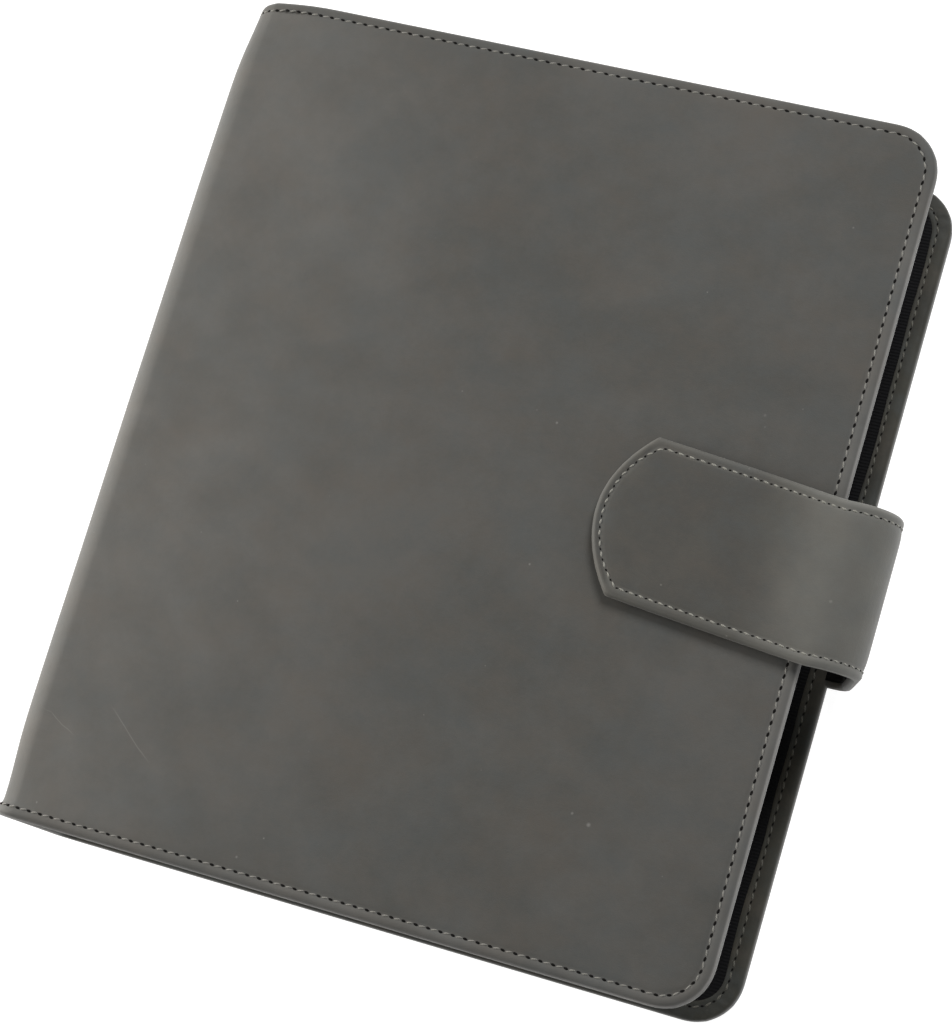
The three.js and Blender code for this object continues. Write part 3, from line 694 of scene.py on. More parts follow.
def liven(bm, side):
    """Moves the flat points a little and stores how far the nap is rubbed at each, with the painted highlight
    and painted light.
    """
    wear_and_painted_light = bm.verts.layers.float.new("wear_and_painted_light")
    for vert in bm.verts:
        along, y, depth = vert.co
        inside = rim_distance(along, y)
        outer_face = depth < COVER_THICKNESS / 2
        vert[wear_and_painted_light] = wear_and_light_share(along, y, inside, outer_face)
        if outer_face and inside > STITCH_INSET:
            vert.co.z -= swelling(along, y, inside, side)
        if not outer_face and inside > BORDER_WIDTH - RAW_EDGE_REACH:
            vert.co.xy += edge_wander(along, y, side)
        if not outer_face and inside < BORDER_WIDTH + RAW_EDGE_REACH:
            vert.co.z -= pleat(along, y, inside)


# %% Build both halves of the cover leather
LEATHER_THICKNESS = 0.9
CUT_TOLERANCE = 0.01


def keep_cut_crisp(bm):
    """Marks the edges of the cut across the sheet as sharp, so that two halves meet without a groove."""
    crease = bm.edges.layers.float.new("crease_edge")
    for edge in open_edges(bm):
        if all(abs(vert.co.x) < CUT_TOLERANCE for vert in edge.verts):
            edge[crease] = 1.0
            edge.smooth = False


def half_piece(bm, name, side, material):
    """Bends a flat half into its place and makes its object."""
    store_flat(bm, side)
    keep_cut_crisp(bm)
    face_outwards(bm, mirrored=side > 0)
    bend_sheet(bm, bent, side)
    return make_piece(bm, name, material, closed=False)


def turned_in_border():
    """The border inside the cover, from the rim to its raw edge."""
    bm = bmesh.new()
    border = sheet_outline(bm, FLAT_REACH, HALF_HEIGHT, CORNER_RADIUS)
    set_depth(border.verts, COVER_THICKNESS - RIM_START)
    ringed(bm, border, BORDER_RINGS)
    bmesh.ops.inset_region(bm, faces=[border], thickness=RAW_EDGE_WIDTH, use_even_offset=True)
    set_depth(border.verts, RAW_EDGE_DEPTH)
    bmesh.ops.delete(bm, geom=[border], context="FACES_ONLY")
    return bm


def cover_half(name, side):
    bm = bmesh.new()
    face = sheet_outline(bm, FLAT_REACH, HALF_HEIGHT, CORNER_RADIUS)
    set_depth(face.verts, RIM_START)
    ringed(bm, face, FACE_RINGS)
    taken_in(bm, turned_in_border())
    rims = [edge for edge in open_edges(bm) if edge.verts[0].co.z != RAW_EDGE_DEPTH]
    bmesh.ops.bridge_loops(bm, edges=rims)
    cut_sheet(bm)
    liven(bm, side)
    piece = half_piece(bm, name, side, cover_leather)
    piece.data.materials.append(border_leather)
    flat = piece.data.attributes["flat"].data
    for polygon in piece.data.polygons:
        depths = [flat[index].vector[2] for index in polygon.vertices]
        if sum(depths) / len(depths) > BORDER_FACE_DEPTH * MM:
            polygon.material_index = 1
    return piece


front_skin = cover_half("front_cover_leather", 1)
back_skin = cover_half("back_cover_leather", -1)
for skin in (front_skin, back_skin):
    modifier(skin, "SOLIDIFY", thickness=LEATHER_THICKNESS * MM, offset=-1.0, use_rim=True)
    smoothed(skin)

TURN_RADIUS = 5.5


def blend_like_cover(piece, side):
    """Bakes a piece's place into its mesh; two places beside the middle of the leather's bend are worked out
    for that half and not used.
    """
    near, far = FOLD_RADIUS - TURN_RADIUS, FOLD_RADIUS
    if side > 0:
        row(near, 0, PLANNER_THICKNESS - far)
        row(far, 0, PLANNER_THICKNESS - near)
        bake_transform(piece)
    else:
        row(far, 0, near)
        row(near, 0, far)
        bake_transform(piece)


blend_like_cover(front_skin, 1)
blend_like_cover(back_skin, -1)
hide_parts("front_leather")
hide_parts("back_leather", "spine_leather")

# %% [markdown]
# Linings
#
# The lining is a thin cloth glued in before the leather is turned over it. It is the same flat sheet with
# a margin, set at its own depth and bent the same way, then given its thickness by Solidify.

# %% Build the linings
LINING_MARGIN = 4.4
LINING_THICKNESS = 0.55


def lining_half(name, side):
    bm = bmesh.new()
    face = sheet_outline(bm, FLAT_REACH - LINING_MARGIN, HALF_HEIGHT - LINING_MARGIN,
                         CORNER_RADIUS - LINING_MARGIN)
    set_depth(face.verts, LINING_DEPTH)
    cut_sheet(bm)
    return half_piece(bm, name, side, lining_cloth)


front_lining = lining_half("front_grosgrain", 1)
back_lining = lining_half("back_grosgrain", -1)
blend_like_cover(front_lining, 1)
blend_like_cover(back_lining, -1)
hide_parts("front_lining")
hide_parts("back_lining", "spine_lining")
for cloth in (front_lining, back_lining):
    modifier(cloth, "SOLIDIFY", thickness=LINING_THICKNESS * MM, offset=0.0, use_rim=True)

# %% [markdown]
# Thread
#
# A lockstitch shows as short rounded dashes that dip into the leather at both ends, with a small pit
# between them. The run follows the rim at a fixed inset. It is worked out on the flat sheet as a straight,
# a corner, a straight, a corner and a straight, and each stitch is bent round the spine with its leather.
# The fore edge is sewn a little tighter than the head and the tail: a leg's length grows by its tightness
# when the stitches are counted along it.

# %% Places along a stitch line
STITCH_PITCH = 3.33
STITCH_LENGTH = 1.75
FORE_TIGHTNESS = 1.11
STITCH_SLANT = math.radians(11)
PIT_SLANT = math.radians(-12)


def line_places(start, end, tightness=1.0):
    """A straight leg: its sewn length, and the point and direction at a sewn distance from its start."""
    start = Vector(start)
    span = Vector(end) - start
    along = span.normalized() / tightness
    return span.length * tightness, lambda s: (start + along * s, math.atan2(span.y, span.x))


def heading(angle):
    """One step in a direction."""
    return Vector((math.cos(angle), math.sin(angle)))


def arc_places(centre, radius, start_angle, sweep=math.pi / 2):
    """The same round an arc that turns left, by a quarter if nothing else is said."""
    def place(s):
        angle = start_angle + s / radius
        return centre + heading(angle) * radius, angle + math.pi / 2
    return radius * sweep, place


def seam_through(*points):
    """A run of straight legs from point to point."""
    return [line_places(start, end) for start, end in zip(points[:-1], points[1:])]


def half_run(inset):
    """The stitch line of one half: tail edge, corner, fore edge, corner, head edge."""
    fore = FLAT_REACH - inset
    top = HALF_HEIGHT - inset
    radius = CORNER_RADIUS - inset
    tail_corner = Vector((FLAT_REACH - CORNER_RADIUS, -HALF_HEIGHT + CORNER_RADIUS))
    head_corner = Vector((FLAT_REACH - CORNER_RADIUS, HALF_HEIGHT - CORNER_RADIUS))
    return [
        line_places((0.0, -top), (tail_corner.x, -top)),
        arc_places(tail_corner, radius, -math.pi / 2),
        line_places((fore, tail_corner.y), (fore, head_corner.y), FORE_TIGHTNESS),
        arc_places(head_corner, radius, 0.0),
        line_places((head_corner.x, top), (0.0, top)),
    ]


def spaced(run, pitch, phase):
    """Evenly spaced (point, direction) pairs along a run; the phase is the place within each step."""
    total = sum(length for length, _ in run)
    count = round(total / pitch)
    places = []
    for number in range(count):
        distance = (number + phase) * total / count
        for length, place in run:
            if distance <= length:
                places.append(place(distance))
                break
            distance -= length
    return places


# %% One stitch and one pit
THREAD_RADIUS = 0.27
THREAD_SINK = 0.05
SMALL_PIT_SCALE = 0.7
PIT_LENGTH = 1.3
PIT_WIDTH = 0.74
PIT_SINK = 0.13


def small_ball(segments, rings, turned=False):
    """A small round mesh of radius 1 that stitches and pits are copied from."""
    bm = bmesh.new()
    matrix = Matrix.Rotation(math.pi / 2, 4, "Y") if turned else Matrix()
    bmesh.ops.create_uvsphere(bm, u_segments=segments, v_segments=rings, radius=1.0, matrix=matrix)
    return mesh_of(bm, "ball")


def add_copy(bm, mesh, point, angle, depth, size):
    """Adds a copy of a mesh, stretched to a size, turned in the sheet and set at a depth."""
    place = Matrix.Translation((point.x, point.y, depth)) @ Matrix.Rotation(angle, 4, "Z")
    moved = place @ Matrix.Diagonal((*size, 1.0))
    mesh.transform(moved)
    bm.from_mesh(mesh)
    mesh.transform(moved.inverted())


def stitched(name, run, depth, side, bend, thread_material, inner=False, pitch=STITCH_PITCH, pit_scale=1.0):
    """Thread and pits along a run, bent with the leather; returns both objects."""
    threads = bmesh.new()
    pits = bmesh.new()
    thread_ball = small_ball(segments=6, rings=7, turned=True)
    pit_ball = small_ball(segments=8, rings=4)
    sink = -THREAD_SINK if inner else THREAD_SINK
    half_length = pitch / STITCH_PITCH * STITCH_LENGTH / 2
    for point, angle in spaced(run, pitch, phase=0.5):
        add_copy(threads, thread_ball, point, angle + STITCH_SLANT, depth + sink,
                 (half_length, THREAD_RADIUS, THREAD_RADIUS))
    for point, angle in spaced(run, pitch, phase=0.0):
        add_copy(pits, pit_ball, point, angle + PIT_SLANT, depth,
                 (PIT_LENGTH / 2 * pit_scale, PIT_WIDTH / 2 * pit_scale, PIT_SINK))
    bpy.data.meshes.remove(thread_ball)
    bpy.data.meshes.remove(pit_ball)
    pieces = []
    for bm, suffix, material in ((threads, "thread", thread_material), (pits, "pits", shaded_awl_pit)):
        bend_sheet(bm, bend, side)
        pieces.append(make_piece(bm, f"{name}_{suffix}", material))
    return pieces


# %% Stitch the covers, outside and inside
RIM_THREAD_DEPTH = GROOVE_DEPTH - 0.12
BORDER_THREAD_DEPTH = BORDER_STITCH_DEPTH + 0.14

for label, side in (("front", 1), ("back", -1)):
    outer = stitched(f"{label}_rim", half_run(STITCH_INSET), RIM_THREAD_DEPTH, side, bent, thread)
    inner = stitched(f"{label}_border", half_run(BORDER_STITCH_INSET), BORDER_THREAD_DEPTH, side, bent,
                     inner_thread, inner=True, pit_scale=SMALL_PIT_SCALE)
    for piece in outer + inner:
        blend_like_cover(piece, side)

# %% [markdown]
# The strap
#
# The strap is drawn flat too: s runs from its root in the back cover to its tip. It leaves the back
# cover, turns up past the fore edge, turns again and lies on the front cover. The leather is turned round
# its edges and the inside is lined in black. It is cut at the middle of its side, so that each half holds
# one of its two bends.

# %% The strap's path
STRAP_WIDTH = 43.0
STRAP_CENTRE = -2.5
STRAP_THICKNESS = 3.0
STRAP_TOP_RADIUS = 13.0
STRAP_ROOT_RADIUS = 12.0
STRAP_LEAN = math.radians(12)
STRAP_LOW = 0.3
STRAP_GAP = 0.8
STRAP_DRAWN_IN = 1.4
STRAP_TOP = PLANNER_THICKNESS + STRAP_GAP + STRAP_THICKNESS
STRAP_TIP_X = 136.4
STRAP_TIP_RISE = 9.7
STRAP_TIP_SLANT = 0.044
STRAP_ROOT_X = COVER_WIDTH - 4.5

TOP_CENTRE_X = COVER_WIDTH + STRAP_REACH - STRAP_DRAWN_IN - STRAP_TOP_RADIUS
TOP_CENTRE = Vector((TOP_CENTRE_X, STRAP_TOP - STRAP_TOP_RADIUS))
ROOT_CENTRE_Z = STRAP_LOW + STRAP_ROOT_RADIUS
RADIUS_STEP = STRAP_TOP_RADIUS - STRAP_ROOT_RADIUS
LEAN_OFFSET = (TOP_CENTRE.y - ROOT_CENTRE_Z) * math.sin(STRAP_LEAN)
ROOT_CENTRE_X = TOP_CENTRE.x + (RADIUS_STEP - LEAN_OFFSET) / math.cos(STRAP_LEAN)
ROOT_CENTRE = Vector((ROOT_CENTRE_X, ROOT_CENTRE_Z))
SIDE_UP = Vector((math.sin(STRAP_LEAN), math.cos(STRAP_LEAN)))
SIDE_OUT = Vector((math.cos(STRAP_LEAN), -math.sin(STRAP_LEAN)))

ROOT_FLAT = ROOT_CENTRE.x - STRAP_ROOT_X
ROOT_ARC = STRAP_ROOT_RADIUS * (math.pi / 2 - STRAP_LEAN)
SIDE_LENGTH = (TOP_CENTRE - ROOT_CENTRE).dot(SIDE_UP)
TOP_ARC = STRAP_TOP_RADIUS * (math.pi / 2 + STRAP_LEAN)
TAB_FLAT = TOP_CENTRE.x - STRAP_TIP_X
SIDE_START = ROOT_FLAT + ROOT_ARC
TOP_START = SIDE_START + SIDE_LENGTH
TAB_START = TOP_START + TOP_ARC
STRAP_LENGTH = TAB_START + TAB_FLAT
STRAP_MIDDLE = SIDE_START + SIDE_LENGTH / 2
print("strap length:", round(STRAP_LENGTH, 1), "mm")

# %% The strap bent along its path
SWAY_AT_ROOT = 1.2
SWAY_AT_BEND = -2.6
SWAY_AT_TIP = 3.2
SWAY_SLOPE = (SWAY_AT_TIP - SWAY_AT_BEND) / TAB_FLAT
SWAY_FADE = 25.0
SLANT_START = STRAP_LENGTH - 30.0
SLANT_END = STRAP_LENGTH - 8.0


def strap_sway(s):
    """The strap lies a little askew on the cover: its tip towards the head, its bend towards the tail."""
    if s < TAB_START:
        return SWAY_AT_ROOT + (SWAY_AT_BEND - SWAY_AT_ROOT) * s / TAB_START
    return SWAY_AT_BEND + SWAY_SLOPE * (s - TAB_START)


def strap_bent(point, side=1):
    """A flat strap point (s, w, depth) in its place round the fore edge; the strap has only one side."""
    s, w, depth = point
    if s < ROOT_FLAT:
        place = Vector((STRAP_ROOT_X + s, STRAP_LOW + depth))
    elif s < SIDE_START:
        angle = (s - ROOT_FLAT) / STRAP_ROOT_RADIUS - math.pi / 2
        place = ROOT_CENTRE + heading(angle) * (STRAP_ROOT_RADIUS - depth)
    elif s < TOP_START:
        place = ROOT_CENTRE + SIDE_OUT * (STRAP_ROOT_RADIUS - depth) + SIDE_UP * (s - SIDE_START)
    elif s < TAB_START:
        angle = (s - TOP_START) / STRAP_TOP_RADIUS - STRAP_LEAN
        place = TOP_CENTRE + heading(angle) * (STRAP_TOP_RADIUS - depth)
    else:
        askew = w * SWAY_SLOPE * smooth_share(s, TAB_START, TAB_START + SWAY_FADE)
        askew -= w * STRAP_TIP_SLANT * smooth_share(s, SLANT_START, SLANT_END)
        place = Vector((TOP_CENTRE.x - (s - TAB_START) + askew, STRAP_TOP - depth))
    return Vector((place.x, w + STRAP_CENTRE + strap_sway(s), place.y))


# %% The strap's outline and rings
STRAP_RIM_START = 1.4
STRAP_STITCH_INSET = 2.7
STRAP_PITCH = 2.8
STRAP_PIT_SCALE = 0.6
STRAP_THREAD_DEPTH = 0.14
STRAP_LINING_INSET = 1.75
STRAP_LINING_DEPTH = STRAP_THICKNESS - 0.05
STRAP_LINING_THICKNESS = 0.3
STRAP_RINGS = ((0.25, 0.75), (0.7, 0.3), (1.2, 0.05), (1.9, -0.02), (STRAP_STITCH_INSET, 0.3), (3.5, 0.02),
               (6.0, -0.2))
STRAP_BACK_RINGS = ((0.25, 2.3), (0.7, 2.72), (1.3, 2.94), (1.9, 3.0), (2.1, 2.8))
TIP_STEPS = 14
TIP_STITCH_ADVANCE = 0.3
# The strap is paler where it bends over the cover: partly wear, partly painted highlight.
BEND_WEAR_AND_HIGHLIGHT = 0.26
BEND_PALE_LEAD = 4.0
BEND_PALE_HOLD = 2.0
BEND_PALE_REACH = 20.0
STRAP_RIM_TOP = 0.2
STRAP_RIM_BOTTOM = STRAP_THICKNESS * 0.9
STRAP_RIM_WEAR = 0.2
STRAP_BAND_WEAR = 0.08
STRAP_STEP = 5.0
STRAP_BEND_STEP = 1.0


def strap_outline(bm, inset, depth):
    """The whole strap as one flat face, its tip drawn as a shallow curve."""
    half = STRAP_WIDTH / 2 - inset
    shoulder = STRAP_LENGTH - STRAP_TIP_RISE - inset
    places = ((inset, -half), (shoulder, -half), (shoulder, half), (inset, half))
    corners = [bm.verts.new((s, w, depth)) for s, w in places]
    bm.faces.new(corners)
    tip_edge = bm.edges.get((corners[1], corners[2]))
    bmesh.ops.subdivide_edges(bm, edges=[tip_edge], cuts=TIP_STEPS - 1)
    for vert in bm.verts:
        if vert.co.x > shoulder - CUT_TOLERANCE:
            vert.co.x += STRAP_TIP_RISE * (1 - (vert.co.y / half) ** 2)
    return max(bm.faces, key=lambda face: face.calc_area())


def strap_cuts(bm, start, end):
    """Keeps the strap between two places, with fine cuts over its bends."""
    sliced(bm, (start, 0, 0), (-1, 0, 0), clear_outer=True)
    sliced(bm, (end, 0, 0), ALONG, clear_outer=True)
    for first, last in ((ROOT_FLAT, SIDE_START), (TOP_START, TAB_START)):
        if start <= first <= end:
            grid_cuts(bm, first - BEND_SPARE, last + BEND_SPARE, STRAP_BEND_STEP, ALONG)
    grid_cuts(bm, start, end, STRAP_STEP, ALONG)
    grid_cuts(bm, -STRAP_WIDTH / 2, STRAP_WIDTH / 2, STRAP_STEP, ACROSS)


# %% Strap leather, lining and seam line
def strap_wear_and_light_share(s, w, depth):
    """Wear of the strap's nap on its rim and beside its seam; where it bends over the cover it is partly wear
    and partly painted highlight.
    """
    at_bend = smooth_share(s, TOP_START - BEND_PALE_LEAD, TOP_START + BEND_PALE_LEAD)
    past_bend = smooth_share(s, TAB_START + BEND_PALE_HOLD, TAB_START + BEND_PALE_REACH)
    share = BEND_WEAR_AND_HIGHLIGHT * at_bend * (1.0 - past_bend)
    if STRAP_RIM_TOP < depth < STRAP_RIM_BOTTOM:
        return share + STRAP_RIM_WEAR
    if STRAP_WIDTH / 2 - abs(w) < STRAP_STITCH_INSET:
        return share + STRAP_BAND_WEAR
    return share


def strap_piece(bm, name, material):
    """Bends a flat strap sketch into its place and makes its object."""
    store_flat(bm)
    face_outwards(bm, mirrored=False)
    bend_sheet(bm, strap_bent)
    return make_piece(bm, name, material, closed=False)


def strap_part(name, start, end):
    bm = bmesh.new()
    ringed(bm, strap_outline(bm, 0.0, STRAP_RIM_START), STRAP_RINGS)
    inner = bmesh.new()
    ringed(inner, strap_outline(inner, 0.0, STRAP_THICKNESS - STRAP_RIM_START), STRAP_BACK_RINGS)
    taken_in(bm, inner)
    bmesh.ops.bridge_loops(bm, edges=open_edges(bm))
    strap_cuts(bm, start, end)
    # The stored values include the painted highlight where the strap bends.
    wear_and_painted_light = bm.verts.layers.float.new("wear_and_painted_light")
    for vert in bm.verts:
        vert[wear_and_painted_light] = strap_wear_and_light_share(*vert.co)
    piece = strap_piece(bm, name, strap_leather)
    smoothed(piece)
    return piece


def strap_lining(name, start, end):
    bm = bmesh.new()
    strap_outline(bm, STRAP_LINING_INSET, STRAP_LINING_DEPTH)
    strap_cuts(bm, start, end)
    piece = strap_piece(bm, name, strap_cloth)
    modifier(piece, "SOLIDIFY", thickness=STRAP_LINING_THICKNESS * MM, offset=0.0, use_rim=True)
    return piece


def strap_run(start, end):
    """Stitch line along the strap's edges, and round the tip where the run reaches it."""
    half = STRAP_WIDTH / 2 - STRAP_STITCH_INSET
    shoulder = STRAP_LENGTH - STRAP_TIP_RISE - STRAP_STITCH_INSET + TIP_STITCH_ADVANCE
    reach = min(end, shoulder)
    run = seam_through((start, -half), (reach, -half))
    if end > shoulder:
        radius = (half ** 2 + STRAP_TIP_RISE ** 2) / (2 * STRAP_TIP_RISE)
        spread = math.asin(half / radius)
        centre = Vector((shoulder + STRAP_TIP_RISE - radius, 0.0))
        run.append(arc_places(centre, radius, -spread, 2 * spread))
    return run + seam_through((reach, half), (start, half))


# %% Build the strap
def strap_seam(name, start, end):
    return stitched(name, strap_run(start, end), STRAP_THREAD_DEPTH, 1, strap_bent, strap_thread,
                    pitch=STRAP_PITCH, pit_scale=STRAP_PIT_SCALE)


strap_lower = strap_part("strap_lower_leather", 0.0, STRAP_MIDDLE)
strap_upper = strap_part("strap_upper_leather", STRAP_MIDDLE, STRAP_LENGTH)
strap_lower_cloth = strap_lining("strap_lower_grosgrain", 0.0, STRAP_MIDDLE)
strap_upper_cloth = strap_lining("strap_upper_grosgrain", STRAP_MIDDLE, STRAP_LENGTH)
lower_thread = strap_seam("strap_lower", ROOT_FLAT, STRAP_MIDDLE)
upper_thread = strap_seam("strap_upper", STRAP_MIDDLE, STRAP_LENGTH)
STRAP_MID_DEPTH = STRAP_THICKNESS * 0.7


def on_strap(s):
    """A place on the strap's middle line, in metres of the row."""
    place = strap_bent((s, 0.0, STRAP_MID_DEPTH))
    return row(place.x, 0, place.z)


for piece in (strap_lower, strap_lower_cloth, *lower_thread):
    on_strap(ROOT_FLAT)
    on_strap(SIDE_START)
    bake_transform(piece)
for piece in (strap_upper, strap_upper_cloth, *upper_thread):
    on_strap(TOP_START)
    on_strap(TAB_START)
    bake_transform(piece)
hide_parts("strap_root")
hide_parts("strap_root_lining")
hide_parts("strap_side", "strap_tab")
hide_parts("strap_side_lining", "strap_tab_lining")

# %% [markdown]
# Paper, board, plastic and metal
#
# The pieces inside keep their CAD shapes. Paper shows its sheets only at its edges, so its material cuts
# fine lines by height there. Grey board is flecked, plastic is smooth with faint scratches, and nickel has
# a satin brush.

# %% Finishes of the pieces inside
RULE_PITCH = 8.0
RULE_INK = colour(120, 126, 134)
SHEET_SIZE = 0.16
FIBRE_SIZE = 0.8
SHADE_PITCH = 3.3


def ruled_lines(finish):
    """1 on thin lines across the page, one every rule pitch."""
    return finish.waves(finish.axis("Y"), RULE_PITCH).above(0.985, 0.998)


def paper_finish(name, dark, light):
    """Plain and ruled on its faces; on upright edges the single sheets and their bundles show."""
    finish = Finish(name, "object", Specular_IOR_Level=0.3)
    sheets = finish.noise(SHEET_SIZE, detail=1.0, roughness=0.5, place=finish.stretched((0.01, 0.01, 1.0)))
    fibre = finish.noise(FIBRE_SIZE, detail=4.0, roughness=0.6)
    facing = finish.axis("Z", finish.node("ShaderNodeTexCoord", output="Normal"))
    edge = 1.0 - (facing * facing).above(0.2, 0.8)
    bundle = (finish.waves(finish.axis("Z"), SHADE_PITCH) * 0.5 + 0.5) * 0.2
    shade = (sheets * edge + bundle * edge + fibre * 0.06).limited()
    plain = finish.mix(shade, light, dark)
    rule = ruled_lines(finish) * (1.0 - edge)
    finish.feed("Base Color", finish.mix(rule * 0.4, plain, RULE_INK))
    finish.feed("Roughness", 0.85 + (fibre - 0.5) * 0.1)
    finish.feed("Normal", finish.bump(sheets * edge * 2.0 + fibre * 0.1, depth_mm=0.12, strength=0.7))
    return finish.material


def board_finish(name, dark, light):
    """Grey pulp with paler flecks."""
    finish = Finish(name, "object", Specular_IOR_Level=0.2)
    pulp = finish.noise(1.6, detail=5.0, roughness=0.7)
    flecks = finish.noise(0.5, detail=2.0, roughness=0.5).above(0.6, 0.72)
    finish.feed("Base Color", finish.mix(pulp * 0.7 + flecks * 0.3, dark, light))
    finish.feed("Roughness", 0.9 + (pulp - 0.5) * 0.1)
    finish.feed("Normal", finish.bump(pulp, depth_mm=0.1, strength=0.5))
    return finish.material


def plastic_finish(name, dark, light, rough):
    """Smooth plastic with faint long scratches."""
    finish = Finish(name, "object", Specular_IOR_Level=0.5)
    cloud = finish.noise(60.0, detail=2.0, roughness=0.5)
    hairlines = finish.noise(0.7, detail=3.0, roughness=0.6, place=finish.stretched((0.06, 1.0, 1.0)))
    finish.feed("Base Color", finish.mix(cloud * 0.4 + hairlines * 0.4, dark, light))
    finish.feed("Roughness", rough + (hairlines - 0.5) * 0.18)
    finish.feed("Normal", finish.bump(hairlines, depth_mm=0.02, strength=0.4))
    return finish.material


def metal_finish(name, dark, light, rough):
    """Plated metal with a satin brush."""
    finish = Finish(name, "object", Metallic=1.0)
    cloud = finish.noise(9.0, detail=3.0, roughness=0.55)
    brush = finish.noise(0.5, detail=3.0, roughness=0.6, place=finish.stretched((1.0, 0.04, 1.0)))
    finish.feed("Base Color", finish.mix(cloud * 0.6 + brush * 0.4, dark, light))
    finish.feed("Roughness", rough + (brush - 0.5) * 0.14 + (cloud - 0.5) * 0.08)
    finish.feed("Normal", finish.bump(brush, depth_mm=0.015, strength=0.4))
    return finish.material


cream_paper = paper_finish("cream_paper", colour(172, 164, 145), colour(228, 222, 207))
grey_board = board_finish("grey_board", colour(112, 104, 92), colour(158, 149, 132))
binding_tape = plastic_finish("binding_tape", colour(20, 20, 22), colour(32, 32, 34), 0.6)
nickel = metal_finish("satin_nickel", colour(150, 152, 154), colour(184, 185, 186), 0.3)
finishes = {
    "cover_leather": pocket_leather,
    "board": grey_board,
    "paper": cream_paper,
    "divider": plastic_finish("matt_divider", colour(160, 158, 150), colour(174, 171, 162), 0.5),
    "lifter": plastic_finish("smoked_plastic", colour(34, 36, 39), colour(52, 54, 58), 0.32),
    "nickel": nickel,
    "magnet": metal_finish("plated_magnet", colour(140, 142, 145), colour(168, 170, 172), 0.35),
}
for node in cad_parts.values():
    for material_slot in node.material_slots:
        if material_slot.material and material_slot.material.name in finishes:
            material_slot.material = finishes[material_slot.material.name]

# %% [markdown]
# Leather pockets
#
# A pocket is a sheet of leather sewn down on three sides. Its outline is drawn with a few points and one
# arc or curve, the rim is rounded by rings that step down to the lining, and thread runs beside the rim.
# The three card pockets lie on each other like stairs, so each shows one step and a thumb notch.

# %% A sheet of leather on the lining
POCKET_STITCH_INSET = 2.2
POCKET_PITCH = 3.0
POCKET_RINGS = ((0.12, 0.75), (0.35, 0.95), (0.8, 1.0), (1.6, 1.0))
POCKET_RIM_START = 0.3
ARC_STEPS = 14


def pocket_sheet(name, outline, seat, face, body, node_name):
    """A closed leather sheet from its seat on the lining to its face, rounded at the rim."""
    bm = bmesh.new()
    middle = bm.faces.new([bm.verts.new((x, y, 0.0)) for x, y in outline])
    height = face - seat
    set_depth(middle.verts, seat + height * POCKET_RIM_START)
    ringed(bm, middle, [(distance, seat + height * share) for distance, share in POCKET_RINGS])
    lowered = bmesh.ops.extrude_edge_only(bm, edges=open_edges(bm))["geom"]
    set_depth([part for part in lowered if isinstance(part, bmesh.types.BMVert)], seat)
    bmesh.ops.edgeloop_fill(bm, edges=open_edges(bm))
    piece = make_piece(bm, name, pocket_leather)
    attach(piece, body)
    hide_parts(node_name)


def lying(point, side):
    """Places a stitch straight from the sketch, without a bend."""
    return Vector(point)


# %% Card pockets inside the front cover
CARD_FORE = COVER_WIDTH - 14.0
CARD_WIDTH = 102.0
CARD_FOOT = 10.5 - HALF_HEIGHT
CARD_HEIGHT = 148.0
CARD_STEP = 22.0
CARD_LEATHER = 0.6
CARD_GAP = 0.02
CARD_COUNT = 3
CARD_LEFT = CARD_FORE - CARD_WIDTH
CARD_MIDDLE = CARD_FORE - CARD_WIDTH / 2
NOTCH_RADIUS = 9.0
NOTCH_MARGIN = 2.0
SEAM_MARGIN = 1.0
CARD_CEILING = PLANNER_THICKNESS - LINING_DEPTH


def card_outline(top):
    outline = [(CARD_LEFT, CARD_FOOT), (CARD_FORE, CARD_FOOT), (CARD_FORE, top)]
    for step in range(ARC_STEPS + 1):
        angle = -math.pi * step / ARC_STEPS
        outline.append(Vector((CARD_MIDDLE, top)) + heading(angle) * NOTCH_RADIUS)
    return [*outline, (CARD_LEFT, top)]


def card_runs(top, last):
    """Thread down both sides to the next pocket's edge and along the open edge beside the notch.

    The last pocket is sewn down to the foot and along it.
    """
    left = CARD_LEFT + POCKET_STITCH_INSET
    right = CARD_FORE - POCKET_STITCH_INSET
    edge = top - POCKET_STITCH_INSET
    foot = CARD_FOOT + POCKET_STITCH_INSET
    low = foot if last else top - CARD_STEP + SEAM_MARGIN
    clear = NOTCH_RADIUS + NOTCH_MARGIN
    lines = [((left, edge), (left, low)), ((right, low), (right, edge)),
             ((left, edge), (CARD_MIDDLE - clear, edge)), ((CARD_MIDDLE + clear, edge), (right, edge))]
    if last:
        lines.append(((left, foot), (right, foot)))
    return [seam_through(*line) for line in lines]


for number in range(CARD_COUNT):
    node_name = f"card_pocket_{number + 1}"
    top = CARD_FOOT + CARD_HEIGHT - number * CARD_STEP
    seat = CARD_CEILING - number * CARD_LEATHER
    face = seat - CARD_LEATHER + CARD_GAP
    pocket_sheet(f"{node_name}_leather", card_outline(top), seat, face, "front_cover", node_name)
    for count, run in enumerate(card_runs(top, number == CARD_COUNT - 1)):
        for sewn in stitched(f"{node_name}_seam_{count + 1}", run, face, 1, lying, inner_thread,
                             pitch=POCKET_PITCH, pit_scale=SMALL_PIT_SCALE):
            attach(sewn, "front_cover")

# %% [markdown]
# The pad's pocket
#
# The writing pad slips its fore half under a leather pocket that is open towards the spine. It starts as
# a closed outline; the rings make its rounded shoulders and upright walls, and then the wall of the curved
# open side is taken away, so the pad can pass. Solidify gives the leather its thickness.

